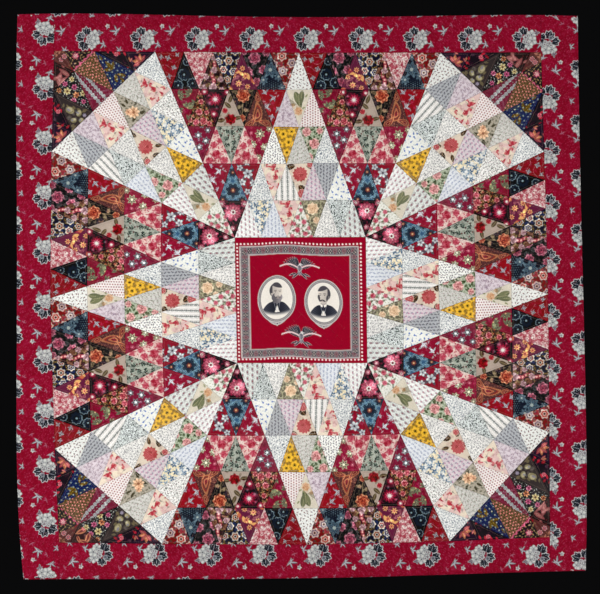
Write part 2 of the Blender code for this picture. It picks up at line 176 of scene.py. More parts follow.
# ------------------------------------------------------------------ the camera
cam_data = bpy.data.cameras.new("camera")
cam = bpy.data.objects.new("camera", cam_data)
scene.collection.objects.link(cam)
DIST, FRONT = 12.0, -0.0885
cam.location = (0.0, FRONT - DIST, -1.014)
cam.rotation_euler = (math.radians(90.0), 0.0, 0.0)
cam_data.sensor_width = 36.0
cam_data.lens = 36.0 * DIST / 2.28
cam_data.clip_end = 60.0
scene.camera = cam

# --------------------------------------------------------------- the layout
# Seam junctions (X, Z) of the quilt, as in the CAD.
OUTLINE = {
    "nw": (-1.0735, 0.0606), "ne": (1.0564, 0.0546),
    "se": (1.0860, -2.0541), "sw": (-1.0503, -2.0879),
}
BOW = {
    "top": (0.000, -0.0075, -0.001), "right": (0.000, 0.005, 0.009),
    "bottom": (0.007, 0.012, 0.007), "left": (0.021, 0.014, 0.010),
}
F = {
    "nw": (-0.934, -0.079), "n_l": (-0.551, -0.082), "n": (-0.004, -0.086),
    "n_r": (0.533, -0.085), "ne": (0.916, -0.084), "e_t": (0.928, -0.461),
    "e": (0.942, -1.003), "e_b": (0.948, -1.528), "se": (0.950, -1.926),
    "s_r": (0.569, -1.942), "s": (0.026, -1.955), "s_l": (-0.524, -1.952),
    "sw": (-0.915, -1.947), "w_b": (-0.932, -1.591), "w": (-0.949, -1.019),
    "w_t": (-0.944, -0.460),
}
M = {
    "nw": (-0.248, -0.788), "ne": (0.250, -0.786),
    "se": (0.256, -1.265), "sw": (-0.239, -1.265),
}
F = {k: np.array(p) for k, p in F.items()}
M = {k: np.array(p) for k, p in M.items()}
OUTLINE = {k: np.array(p) for k, p in OUTLINE.items()}
GAP = 0.0003
ROD_Y, ROD_R = -0.060, 0.0175
QUILT_BACK = -0.0798           # the backing's rear face
TOP_Y = -0.0862                # the pieced top's mean front face
BACK_Y = -0.0803
SEAM_LINE = 6.5                # quilting runs this far inside each seam, mm


def side_run(name, a, b, t):
    """Points of an outline side at the shares t of its way round."""
    p, q = OUTLINE[a], OUTLINE[b]
    d = q - p
    out = np.array((-d[1], d[0])) / np.hypot(*d)
    xs = (0.0, 0.25, 0.5, 0.75, 1.0)
    ys = (0.0, *BOW[name], 0.0)
    t = np.asarray(t, float)
    v = np.zeros_like(t)
    for j in range(1, 4):
        w = np.full_like(t, ys[j])
        for k in range(5):
            if k != j:
                w = w * (t - xs[k]) / (xs[j] - xs[k])
        v += w
    return p[None, :] + d[None, :] * t[:, None] + out[None, :] * v[:, None]


SIDES = {"top": ("nw", "ne"), "right": ("ne", "se"),
         "bottom": ("se", "sw"), "left": ("sw", "nw")}
# ------------------------------------------------------------------ print engine
# Every printed cotton is a function of the patch's own plane coordinates
# u (clockwise round the quilt) and v (away from its centre), in millimetres,
# and gives display colours from 0 to 255.
PI = math.pi


def S(a, b, x):
    t = np.clip((x - a) / (b - a), 0.0, 1.0)
    return t * t * (3.0 - 2.0 * t)


def over(c, m, col):
    return c + (np.asarray(col, float) - c) * m[:, None]


def plain(u, col):
    return np.zeros((len(u), 3)) + np.asarray(col, float)


def hsh(ix, iy, s):
    n = (ix.astype(np.int64) * 374761393 + iy.astype(np.int64) * 668265263
         + int(s) * 1442695041) & 0xFFFFFFFF
    n = ((n ^ (n >> 13)) * 1274126177) & 0xFFFFFFFF
    n = ((n ^ (n >> 16)) * 2246822519) & 0xFFFFFFFF
    return ((n ^ (n >> 15)) & 0xFFFFFF) / float(0x1000000)


def vn(u, v, sc, s):
    x, y = u / sc, v / sc
    ix, iy = np.floor(x), np.floor(y)
    fx, fy = x - ix, y - iy
    fx, fy = fx * fx * (3 - 2 * fx), fy * fy * (3 - 2 * fy)
    a, b = hsh(ix, iy, s), hsh(ix + 1, iy, s)
    c, d = hsh(ix, iy + 1, s), hsh(ix + 1, iy + 1, s)
    return (a * (1 - fx) + b * fx) * (1 - fy) + (c * (1 - fx) + d * fx) * fy


def fbm(u, v, sc, s, octs=3):
    t, w, k = 0.0, 1.0, 0.0
    for i in range(octs):
        t = t + w * vn(u + 17.3 * i, v - 9.1 * i, sc / 2 ** i, s + i)
        k += w
        w *= 0.5
    return t / k


def rt(u, v, a):
    c, s = math.cos(a), math.sin(a)
    return c * u + s * v, -s * u + c * v


def dot(u, v, x, y, r, f=1.1):
    return 1.0 - S(r - f / 2, r + f / 2, np.hypot(u - x, v - y))


def oval(u, v, x, y, a, b, t=0.0, f=1.1):
    p, q = rt(u - x, v - y, t)
    return 1.0 - S(-f / 2, f / 2, (np.hypot(p / a, q / b) - 1.0) * min(a, b))


def leaf(u, v, x, y, L, W, t, f=1.1, fat=0.8):
    p, q = rt(u - x, v - y, t)
    k = np.clip(p / L, 0.0, 1.0)
    w = W / 2.0 * np.sin(PI * k ** fat) ** 0.75
    return (1.0 - S(-f / 2, f / 2, np.abs(q) - w)) * ((p > 0) & (p < L))


def seg(u, v, x0, y0, x1, y1, w, f=1.0):
    dx, dy = x1 - x0, y1 - y0
    k = np.clip(((u - x0) * dx + (v - y0) * dy) / (dx * dx + dy * dy + 1e-9),
                0, 1)
    d = np.hypot(u - x0 - k * dx, v - y0 - k * dy)
    return 1.0 - S(w / 2 - f / 2, w / 2 + f / 2, d)


def ring(u, v, x, y, r, w, f=1.0):
    d = np.abs(np.hypot(u - x, v - y) - r)
    return 1.0 - S(w / 2 - f / 2, w / 2 + f / 2, d)


def petals(u, v, x, y, r, n, ph=0.0, deep=0.35, f=1.2):
    dx, dy = u - x, v - y
    th = np.arctan2(dy, dx)
    rr = r * (1.0 - deep * (0.5 - 0.5 * np.cos(n * (th - ph))))
    return 1.0 - S(-f / 2, f / 2, np.hypot(dx, dy) - rr)


def mx(*ms):
    o = ms[0]
    for m in ms[1:]:
        o = np.maximum(o, m)
    return o


def cells(u, v, cw, ch, drop=0.5, jit=0.0, s=0):
    """Half-drop repeat: local coordinates in the cell and its indices."""
    ix = np.floor(u / cw)
    vv = v - ch * drop * (ix % 2)
    iy = np.floor(vv / ch)
    lu, lv = u - (ix + 0.5) * cw, vv - (iy + 0.5) * ch
    if jit:
        lu = lu + (hsh(ix, iy, s) - 0.5) * jit * cw
        lv = lv + (hsh(ix, iy, s + 7) - 0.5) * jit * ch
    return lu, lv, ix, iy


def turn(lu, lv, ang):
    c, s = np.cos(ang), np.sin(ang)
    return c * lu + s * lv, -s * lu + c * lv


# ---- motifs: each paints itself on c and gives it back -----------------------
def sprig(c, u, v, size, stem, bloom, bl=1.0, n=2):
    k = size
    c = over(c, seg(u, v, 0, -0.5 * k, 0.04 * k, 0.25 * k, 0.12 * k), stem)
    m = mx(leaf(u, v, 0, -0.3 * k, 0.42 * k, 0.26 * k, 0.5),
           leaf(u, v, 0, -0.15 * k, 0.42 * k, 0.26 * k, 2.6))
    c = over(c, m, stem)
    c = over(c, petals(u, v, 0.05 * k, 0.33 * k, 0.22 * k * bl, 5, 0.3),
             bloom)
    return c


def rose(c, u, v, x, y, r, dark, mid, light, s=1, n=7):
    th = np.arctan2(v - y, u - x)
    d = np.hypot(u - x, v - y)
    edge = petals(u, v, x, y, r, n, 0.4 * s, 0.16)
    shade = 0.5 + 0.5 * np.cos(n * (th - 0.4 * s) + 3.0 * d / r)
    k = np.clip(d / r, 0, 1)
    body = (np.asarray(mid, float) + (np.asarray(light, float)
            - np.asarray(mid, float)) * (S(0.25, 0.95, k)
            * (0.45 + 0.55 * shade))[:, None])
    c = c + (body - c) * edge[:, None]
    for i, q in enumerate((0.78, 0.56, 0.36)):
        arcs = (1.0 - S(0.045 * r, 0.11 * r + 0.5, np.abs(
            d - q * r * (1 + 0.07 * np.sin(3 * th + i * 2 + s))))) * (
                0.5 + 0.5 * np.sin((4 - i) * th + i * 1.7 + s)) ** 0.7
        c = over(c, arcs * 0.75 * edge, dark)
    return over(c, dot(u, v, x, y, 0.15 * r, 0.15 * r + 0.6), dark)


def daisy(c, u, v, x, y, r, n, pet, shade, eye, ph=0.0, deep=0.45):
    th = np.arctan2(v - y, u - x)
    d = np.hypot(u - x, v - y)
    m = petals(u, v, x, y, r, n, ph, deep)
    k = (0.5 - 0.5 * np.cos(n * (th - ph))) ** 1.5
    col = (np.asarray(pet, float) + (np.asarray(shade, float)
           - np.asarray(pet, float)) * np.clip(
               0.75 * k + 0.5 * (1 - S(0.1, 0.75, d / r)), 0, 1)[:, None])
    c = c + (col - c) * m[:, None]
    return over(c, dot(u, v, x, y, 0.2 * r, 0.12 * r + 0.6), eye)


def ringed(c, u, v, x, y, r, rim, inner, eye, n=6, ph=0.0):
    c = over(c, petals(u, v, x, y, r, n, ph, 0.25), rim)
    c = over(c, petals(u, v, x, y, 0.66 * r, n, ph, 0.2), inner)
    c = over(c, dot(u, v, x, y, 0.38 * r), rim)
    return over(c, dot(u, v, x, y, 0.2 * r), eye)


def swallow(c, u, v, x, y, k, t, col, lite):
    p, q = rt(u - x, v - y, t)
    m = leaf(p, q, -0.42 * k, 0, 0.7 * k, 0.26 * k, 0.0)
    w = mx(leaf(p, q, 0.05 * k, 0.02 * k, 0.62 * k, 0.2 * k, 1.95),
           leaf(p, q, 0.08 * k, -0.02 * k, 0.5 * k, 0.18 * k, -2.2))
    tl = mx(leaf(p, q, -0.3 * k, 0, 0.4 * k, 0.1 * k, 2.85),
            leaf(p, q, -0.3 * k, 0, 0.4 * k, 0.1 * k, -2.85))
    c = over(c, w, col)
    c = over(c, tl, col)
    c = over(c, m, lite)
    return over(c, leaf(p, q, -0.3 * k, 0.0, 0.5 * k, 0.12 * k, 0.0), col)


def paisley(c, u, v, x, y, k, t, rim, body, core):
    p, q = rt(u - x, v - y, t)
    bend = q - 0.5 * (p / k) ** 2 * k * 0.6

    def drop(g):
        a = np.clip((p / (k * g) + 0.45) / 1.3, 0, 1)
        w = 0.42 * k * g * np.sqrt(np.clip(a * (1 - a) * 3.4, 0, None)) * (
            1 - 0.55 * a)
        return (1.0 - S(-0.6, 0.6, np.abs(bend) - w)) * ((a > 0) & (a < 1))
    c = over(c, drop(1.0), rim)
    c = over(c, drop(0.78), body)
    return over(c, drop(0.45), core)


def grain(c, u, v, s, amt=6.0, sc=2.3):
    """Thread-to-thread and wash variation."""
    g = (vn(u, v, sc, s) - 0.5) * 0.7 + (fbm(u, v, 38.0, s + 5) - 0.5) * 0.9
    return c * (1.0 + g[:, None] * amt / 60.0)


# ---- light cottons ------------------------------------------------------------
WHITE, CREAM = (234, 231, 222), (236, 228, 212)


def small_sprigs(ground, stem, bloom, cw, ch, k, amt=1.0, turned=True):
    def f(u, v, s):
        c = plain(u, ground)
        lu, lv, ix, iy = cells(u, v, cw, ch, 0.5, 0.12, s)
        if turned:
            lu, lv = turn(lu, lv, (hsh(ix, iy, s + 3) - 0.5) * 1.6)
        d = sprig(c, lu, lv, k, stem, bloom)
        return c + (d - c) * amt
    return f


def tossed(ground, stem, bloom, cw, k, amt=1.0):
    """Sprigs tossed every way round, well apart."""
    def f(u, v, s):
        c = plain(u, ground)
        lu, lv, ix, iy = cells(u, v, cw, cw * 1.08, 0.5, 0.42, s)
        lu, lv = turn(lu, lv, hsh(ix, iy, s + 3) * 6.28)
        c = over(c, leaf(lu, lv, -0.3 * k, 0, 0.6 * k, 0.3 * k, 0.5), stem)
        c = over(c, leaf(lu, lv, -0.3 * k, 0, 0.5 * k, 0.26 * k, 2.4), stem)
        c = over(c, petals(lu, lv, 0.18 * k, 0.1 * k, 0.3 * k, 5, 0.3),
                 bloom)
        lu, lv, ix, iy = cells(u + 3, v + 5, cw * 0.7, cw * 0.75, 0.5, 0.5,
                               s + 2)
        return over(c, dot(lu, lv, 0, 0, 0.11 * k) * 0.7, stem)
    return f


def vermicelli(ground, line, spot, pitch, cw):
    """Fine meandering lines with small spots in their bends."""
    def f(u, v, s):
        c = plain(u, ground)
        n = vn(u, v, pitch, s + 2) * 2.0 + vn(u + 40, v - 30, pitch * 0.6,
                                             s + 5)
        w = np.abs((n * 2.2) % 1.0 - 0.5)
        c = over(c, (1 - S(0.06, 0.16, w)), line)
        lu, lv, ix, iy = cells(u, v, cw, cw * 1.1, 0.5, 0.4, s)
        lu, lv = turn(lu, lv, hsh(ix, iy, s + 1) * 6.28)
        c = over(c, leaf(lu, lv, -2, 0, cw * 0.42, cw * 0.2, 0.3), spot)
        return over(c, leaf(lu, lv, -2, 0, cw * 0.36, cw * 0.16, 2.3), spot)
    return f


L01 = tossed((238, 235, 228), (96, 92, 92), (150, 60, 66), 10.5, 6.4)
L08 = tossed((232, 230, 224), (128, 132, 134), (112, 124, 150), 8.0,
             6.8)
L09 = vermicelli((226, 230, 230), (150, 166, 178), (96, 120, 150), 11.0,
                 8.0)
L13 = small_sprigs((170, 171, 177), (112, 110, 124), (96, 82, 98), 8, 9, 7)
L14 = tossed((240, 241, 236), (92, 122, 176), (48, 88, 178), 20.0, 12.0)
L23 = vermicelli((230, 229, 221), (150, 164, 152), (140, 118, 118), 10.0,
                 9.0)
L17 = small_sprigs((222, 226, 236), (186, 196, 222), (166, 178, 216), 8, 9,
                   7)
L20 = vermicelli((234, 233, 227), (184, 186, 184), (160, 160, 160), 8.0,
                 9.0)


def L02(u, v, s):                      # lilac, all-over fine vine
    c = plain(u, (212, 198, 206))
    n = fbm(u, v, 7.0, s + 2)
    c = over(c, 1 - S(0.0, 0.06, np.abs(n - 0.5)), (188, 164, 182))
    lu, lv, ix, iy = cells(u, v, 10, 11, 0.5, 0.2, s)
    c = over(c, petals(lu, lv, 0, 0, 2.6, 5) * 0.8, (178, 138, 156))
    return over(c, dot(lu, lv, 0, 0, 1.0), (232, 222, 224))


def L02b(u, v, s):                     # lavender with small pink heads
    c = plain(u, (220, 208, 222))
    lu, lv, ix, iy = cells(u, v, 12, 13, 0.5, 0.1, s)
    lu, lv = turn(lu, lv, (hsh(ix, iy, s) - 0.5) * 1.2)
    c = sprig(c, lu, lv, 10, (150, 142, 168), (190, 132, 172), 1.3)
    return over(c, dot(lu, lv, 4.5, -4, 0.9), (176, 136, 180))


def L03(u, v, s):                      # cream, big olive leaf, peach flower
    c = plain(u, (226, 214, 190))
    ol, dk, lt = (122, 122, 84), (78, 84, 58), (176, 170, 124)
    for x, y, L, W, t in ((-14, 40, 66, 26, -1.15), (14, 46, 62, 22, -1.7),
                          (0, 30, 44, 16, -1.45)):
        m = leaf(u, v, x, y, L, W, t)
        c = over(c, m, ol)
        p, q = rt(u - x, v - y, t)
        c = over(c, m * (1 - S(0.6, 1.6, np.abs(q))), lt)
        c = over(c, m * (0.5 + 0.5 * np.sin(p * 0.9 - np.abs(q) * 1.1))
                 * S(0.3, 1.0, q / (W / 2) + 0.6) * 0.75, dk)
    c = rose(c, u, v, 2, -34, 17, (196, 132, 90), (226, 178, 132),
             (240, 214, 176), s)
    c = rose(c, u, v, -20, -12, 9, (190, 140, 100), (224, 190, 150),
             (240, 222, 190), s + 2)
    for x, y, t in ((16, -24, 0.6), (-8, -52, -1.8), (22, -42, -0.4),
                    (26, 20, 1.0)):
        c = over(c, leaf(u, v, x, y, 15, 7, t), (150, 150, 104))
    lu, lv, ix, iy = cells(u, v, 9, 9, 0.5, 0.5, s)
    return over(c, dot(lu, lv, 0, 0, 0.9) * 0.5, (176, 160, 120))


def L04(u, v, s):                      # red pin dots on white
    c = plain(u, (238, 229, 222))
    lu, lv, ix, iy = cells(u, v, 7.6, 7.6, 0.5)
    return over(c, dot(lu, lv, 0, 0, 1.75, 1.2), (196, 66, 76))


def L05(u, v, s):                      # golden ground, outlined flowers
    c = plain(u, (176, 128, 40))
    lu, lv, ix, iy = cells(u, v, 11, 12, 0.5, 0.3, s + 4)
    c = over(c, leaf(lu, lv, -4, -1, 10, 5, 0.6), (138, 104, 44))
    gold, rim = (232, 172, 34), (180, 120, 20)
    for x, y, r, ph in ((-13, 18, 21, 0.2), (19, 28, 19, 0.7),
                        (8, -12, 22, 0.0), (-25, -22, 18, 0.5),
                        (30, -22, 17, 0.2), (-38, 34, 16, 0.9),
                        (2, -52, 19, 0.4), (4, 58, 18, 0.1),
                        (44, 12, 15, 0.0), (-48, -2, 15, 0.3),
                        (-10, 84, 16, 0.6), (14, -84, 17, 0.5)):
        d = np.hypot(u - x, v - y)
        th = np.arctan2(v - y, u - x)
        m = petals(u, v, x, y, r, 6, ph, 0.3)
        c = over(c, m, rim)
        c = over(c, petals(u, v, x, y, r - 1.8, 6, ph, 0.32), gold)
        k = petals(u, v, x, y, r - 1.8, 6, ph, 0.32) * (
            0.5 + 0.5 * np.cos(18 * (th - ph))) * S(0.25, 0.7, d / r) * 0.4
        c = over(c, k, (206, 146, 26))
        c = over(c, dot(u, v, x, y, r * 0.2), (96, 72, 24))
        c = over(c, ring(u, v, x, y, r * 0.3, 1.2), (150, 104, 20))
    return c


def L06(u, v, s):                      # pale green-grey with vines
    c = plain(u, (208, 205, 192))
    n = vn(u, v, 12, s + 1) * 3 + v * 0.11
    w = np.abs((n + 0.5 * np.sin(u * 0.22)) % 1.0 - 0.5)
    c = over(c, 1 - S(0.03, 0.10, w), (172, 170, 150))
    lu, lv, ix, iy = cells(u, v, 10, 11, 0.5, 0.3, s)
    c = over(c, leaf(lu, lv, 0, 0, 6, 3.4, 0.8), (180, 180, 160))
    return over(c, dot(lu, lv, -3, 1, 1.2), (190, 160, 150))


def L07(u, v, s):                      # sage with pink roses
    c = plain(u, (176, 172, 148))
    lu, lv, ix, iy = cells(u, v, 13, 15, 0.5, 0.4, s)
    lu, lv = turn(lu, lv, hsh(ix, iy, s) * 6.0)
    c = over(c, leaf(lu, lv, -4, 0, 11, 6, 0.3), (128, 126, 96))
    c = over(c, leaf(lu, lv, 2, -3, 8, 4, 2.2), (110, 108, 80))
    pk = ((188, 92, 96), (222, 146, 144), (240, 196, 188))
    for x, y, r in ((-16, 22, 15), (8, -14, 17), (24, 26, 11),
                    (-24, -24, 11), (14, 58, 12), (-6, -54, 12),
                    (-40, 44, 10), (40, -40, 11)):
        c = rose(c, u, v, x, y, r, *pk, s=s + x)
        for t in (0.4, 2.2, 3.9):
            c = over(c, leaf(u, v, x + r * 0.8 * math.cos(t),
                             y + r * 0.8 * math.sin(t), r, r * 0.5, t),
                     (118, 118, 86))
    return c


def L10(u, v, s):                      # peach with coral-red arabesques
    c = plain(u, (238, 204, 188))
    n = fbm(u, v, 22, s + 3, 2)
    c = over(c, S(0.46, 0.56, n) * 0.95, (247, 232, 200))
    red, rs, gr = (186, 54, 62), (218, 118, 110), (170, 160, 136)
    k = 0
    for x, y, t, L in ((-20, 26, 0.5, 30), (10, 8, 2.2, 30),
                       (-4, -26, 1.0, 28), (26, 30, 4.0, 26),
                       (28, -18, 2.5, 26), (-32, -12, 5.4, 24),
                       (4, 56, 4.6, 24), (-36, 48, 5.6, 22),
                       (12, -58, 1.2, 24), (-24, -52, 0.3, 22),
                       (0, 84, 0.8, 20), (46, -44, 1.9, 22)):
        k += 1
        L = L * 1.18
        p, q = rt(u - x, v - y, t)
        q2 = q - 0.02 * (p - L / 2) ** 2 + 0.02 * (L / 2) ** 2
        c = over(c, seg(p, q2, 0, 0, L, 0, 1.6), gr)
        c = over(c, leaf(p, q2, L * 0.5, 0, L * 0.6, L * 0.34, 0.15),
                 red if k % 2 else rs)
        c = over(c, leaf(p, q2, L * 0.4, 1, L * 0.42, L * 0.2, 1.0),
                 rs if k % 2 else red)
        c = over(c, leaf(p, q2, L * 0.2, 0, L * 0.32, L * 0.18, -0.9), gr)
        c = over(c, dot(p, q2, L * 1.05, 2, 2.4), red)
    return c


def L11(u, v, s):                      # cream with grey-green stripes
    c = plain(u, (235, 231, 222))
    x = (u + 7.0) % 22.0 - 11.0
    w = 3.2 + 1.2 * np.sin(v * 0.35)
    c = over(c, (1 - S(w - 0.7, w + 0.9, np.abs(x))) * 0.85, (168, 170, 160))
    lv = (v % 8.0) - 4.0
    c = over(c, mx(leaf(x, lv, 0, -3, 6, 3, 0.9), leaf(x, lv, 0, -1, 6, 3,
                                                       2.2)), (112, 118, 108))
    c = over(c, 1 - S(0.3, 1.0, np.abs(np.abs(x) - 7.0)), (196, 190, 176))
    return c


def L12(u, v, s):                      # cream with pink mum, brown leaves
    c = plain(u, (233, 216, 194))
    br = (98, 74, 50)
    for x, y, L, W, t in ((-20, 42, 34, 15, 3.4), (24, 40, 32, 14, -0.2),
                          (-6, -34, 34, 18, -0.9), (-24, -22, 26, 12, 3.6),
                          (14, -56, 26, 13, -1.3), (26, -16, 22, 10, -0.6),
                          (2, 60, 30, 12, 1.8), (-6, 76, 26, 12, 1.2)):
        L, W = L * 1.3, W * 1.45
        m = leaf(u, v, x, y, L, W, t)
        c = over(c, m, br)
        p, q = rt(u - x, v - y, t)
        c = over(c, m * (1 - S(0.4, 1.4, np.abs(q))), (190, 160, 120))
    for x, y, r in ((-1, 8, 29), (4, -66, 17), (38, 44, 12), (-36, -36, 12)):
        c = over(c, petals(u, v, x, y, r + 1.5, 13, 0.0, 0.14),
                 (242, 206, 186))
        d = np.hypot(u - x, v - y)
        th = np.arctan2(v - y, u - x)
        m = petals(u, v, x, y, r, 13, 0.0, 0.16)
        kk = 0.5 + 0.5 * np.sin(d * 1.35 + 1.3 * np.sin(9 * th))
        col = (np.array((178, 40, 62.0)) + (np.array((236, 150, 140.0))
               - np.array((178, 40, 62.0))) * kk[:, None])
        c = c + (col - c) * m[:, None]
    lu, lv, ix, iy = cells(u, v, 11, 12, 0.5, 0.5, s)
    return c


def L15(u, v, s):                      # white with grey-pink paisleys
    c = plain(u, (233, 230, 224))
    lu, lv, ix, iy = cells(u, v, 13, 16, 0.5, 0.0, s)
    c = paisley(c, lu, lv, 0, 0, 11, PI / 2, (148, 144, 144),
                (206, 198, 196), (166, 84, 96))
    for x, y in ((-5, 5), (5.5, -5.5), (-5.2, -6.5)):
        c = over(c, dot(lu, lv, x, y, 0.9), (168, 150, 148))
    return c


def L15g(u, v, s):                     # its greyer twin
    return L15(u, v, s) * 0.955 + np.array((-2.0, 1.0, 2.0))


def L16(u, v, s):                      # white, yellow and steel blue
    c = plain(u, (228, 226, 218))
    n = fbm(u, v, 26, s + 9, 2)
    c = over(c, S(0.47, 0.58, n) * 0.8, (238, 220, 178))
    b1, b2 = (86, 118, 148), (140, 164, 182)
    lu, lv, ix, iy = cells(u, v, 22, 25, 0.5, 0.25, s)
    lu, lv = turn(lu, lv, hsh(ix, iy, s + 1) * 6.28)
    for t in (0.2, 1.3, 2.4, 3.6, 4.9):
        c = over(c, leaf(lu, lv, 2 * math.cos(t), 2 * math.sin(t), 10, 5.4,
                         t), b1 if t < 3 else b2)
    c = over(c, petals(lu, lv, 0, 0, 4.6, 5, 0.2), (104, 132, 160))
    c = over(c, dot(lu, lv, 0, 0, 1.6), (240, 226, 190))
    lu, lv, ix, iy = cells(u + 9, v + 4, 15, 17, 0.5, 0.5, s + 2)
    return over(c, leaf(lu, lv, -3, 0, 8, 3.6, 0.7), b2)


def L18(u, v, s):                      # white with red roses, olive leaves
    c = plain(u, (230, 221, 208))
    lu, lv, ix, iy = cells(u, v, 9, 10, 0.5, 0.4, s)
    c = over(c, leaf(lu, lv, -3, 0, 6, 3, 0.9) * 0.8, (160, 150, 116))
    for x, y, r in ((-10, 24, 8), (10, 8, 9), (-12, -16, 9.5),
                    (12, -30, 8.5), (26, -12, 8), (-30, -36, 8.5),
                    (2, 46, 7), (-4, -46, 8), (2, 68, 6), (30, -40, 7),
                    (4, -70, 8), (-22, 4, 7)):
        for t in (0.7, 2.7, 4.6):
            c = over(c, leaf(u, v, x, y, r * 2.0, r * 0.85, t + x),
                     (104, 104, 74))
        c = rose(c, u, v, x, y, r, (150, 26, 52), (204, 72, 88),
                 (238, 168, 164), s + x)
    return c


def L19(u, v, s):                      # olive-brown with a peach rose
    c = plain(u, (122, 108, 80))
    n = fbm(u, v, 11, s + 2, 2)
    c = over(c, S(0.5, 0.6, n) * 0.7, (92, 80, 58))
    lu, lv, ix, iy = cells(u, v, 19, 21, 0.5, 0.3, s)
    lu, lv = turn(lu, lv, hsh(ix, iy, s) * 6.28)
    for t in (0.3, 2.4, 4.5):
        m = leaf(lu, lv, 0, 0, 12, 6, t)
        c = over(c, m, (160, 150, 112))
    c = rose(c, u, v, -3, 14, 24, (186, 134, 92), (222, 182, 140),
             (240, 216, 182), s, 8)
    c = rose(c, u, v, 12, -30, 14, (176, 128, 90), (214, 176, 136),
             (234, 208, 172), s + 3)
    return rose(c, u, v, -26, -18, 11, (176, 128, 90), (214, 176, 136),
                (234, 208, 172), s + 5)


def L21(u, v, s):                      # dense grey-green vermicelli
    c = plain(u, (206, 210, 206))
    n = vn(u, v, 7.5, s) + 0.5 * vn(u, v, 3.8, s + 1)
    w = np.abs((n * 3.4) % 1.0 - 0.5)
    return over(c, 1 - S(0.10, 0.22, w), (128, 140, 136))


def L22(u, v, s):                      # sage with a peach flower
    c = plain(u, (178, 172, 146))
    lu, lv, ix, iy = cells(u, v, 15, 16, 0.5, 0.4, s)
    lu, lv = turn(lu, lv, hsh(ix, iy, s) * 6.0)
    c = over(c, leaf(lu, lv, -5, 0, 12, 6, 0.2), (132, 130, 102))
    for x, y, L, W, t in ((-22, -38, 30, 14, 0.4), (16, -34, 26, 13, -0.5),
                          (24, 0, 20, 9, 0.5), (-6, 20, 26, 9, 1.8),
                          (6, 24, 24, 8, 1.1)):
        c = over(c, leaf(u, v, x, y, L, W, t), (98, 94, 64))
    c = daisy(c, u, v, 2, -16, 24, 8, (238, 208, 164), (206, 152, 104),
              (150, 104, 70), 0.2, 0.28)
    return daisy(c, u, v, -12, -2, 14, 7, (236, 200, 158), (204, 146, 100),
                 (160, 110, 76), 0.6, 0.3)


# ---- dark cottons --------------------------------------------------------------
CRIM = (168, 10, 42)


def crimson(u, v, s, col=CRIM):
    c = plain(u, col)
    n = fbm(u, v, 8, s + 11)
    c = over(c, S(0.62, 0.72, n) * 0.35, (206, 44, 78))
    return over(c, S(0.40, 0.30, n) * 0.30, (134, 2, 30))


def D01(u, v, s):                      # red with grey outline butterflies
    c = crimson(u, v, s)
    g = (176, 168, 172)
    for x, y, t, k in ((-4, 22, 0.6, 24), (18, -14, 2.2, 22),
                       (-30, 26, 4.0, 20), (0, -48, 1.2, 22),
                       (32, 34, 3.2, 20), (-6, 60, 1.0, 18)):
        p, q = rt(u - x, v - y, t)
        for a in (0.5, 2.0, 3.9, 5.4):
            m = leaf(p, q, 0, 0, k * 0.5, k * 0.26, a)
            c = over(c, m * 0.85, (120, 104, 112))
            c = over(c, m - leaf(p, q, 0.5, 0, k * 0.42, k * 0.17, a) * m,
                     g)
        c = over(c, seg(p, q, -k * 0.3, 0, k * 0.3, 0, 1.4), g)
    w = np.abs(((v + 9 * np.sin(u * 0.09)) / 26.0) % 1.0 - 0.5)
    return over(c, (1 - S(0.01, 0.035, w)) * 0.7, (196, 150, 150))


def bloom_dark(ground, pet, pet2, edge, n=9):
    def f(u, v, s):
        c = plain(u, ground)
        nn = fbm(u, v, 9, s)
        c = over(c, S(0.55, 0.7, nn) * 0.5, pet2)
        for x, y, r in ((-2, 6, 20), (-18, -26, 17), (24, -18, 18),
                        (4, 44, 13), (4, -56, 14), (-36, 28, 14),
                        (36, 30, 13)):
            d = np.hypot(u - x, v - y)
            th = np.arctan2(v - y, u - x)
            c = over(c, petals(u, v, x, y, r, n, s, 0.22), pet)
            k = (1 - S(0.4, 1.3, np.abs(d - r * 0.8 * (1 + 0.08 * np.sin(
                n * th))))) * (np.sin(th * 1.0 + x) > -0.2)
            c = over(c, k, edge)
            c = over(c, petals(u, v, x, y, r * 0.45, 6, 0.0, 0.3), ground)
            c = over(c, dot(u, v, x, y, r * 0.16), edge)
        return c
    return f


D02 = bloom_dark((16, 24, 36), (26, 46, 62), (20, 40, 50), (112, 142, 150))


def D08(u, v, s):                      # navy, pale teal bloom over dots
    c = plain(u, (26, 36, 54))
    lu, lv, ix, iy = cells(u, v, 6.4, 6.4, 0.5)
    c = over(c, dot(lu, lv, 0, 0, 1.3) * S(0, -20, v), (120, 142, 150))
    for x, y, r, a in ((0, 22, 25, 0.5), (-20, -8, 15, 1.2),
                       (24, 2, 15, 2.0), (2, 58, 12, 0.2),
                       (-4, -46, 13, 0.9), (34, -30, 12, 0.0)):
        for i in range(7):
            t = a + i * 2 * PI / 7
            m = leaf(u, v, x, y, r, r * 0.5, t)
            c = over(c, m, (96, 120, 134))
            c = over(c, leaf(u, v, x, y, r * 0.86, r * 0.24, t),
                     (44, 62, 84))
            c = over(c, seg(u, v, x, y, x + r * 0.8 * math.cos(t),
                            y + r * 0.8 * math.sin(t), 0.9),
                     (158, 176, 180))
        c = over(c, dot(u, v, x, y, r * 0.2), (180, 192, 188))
    return c


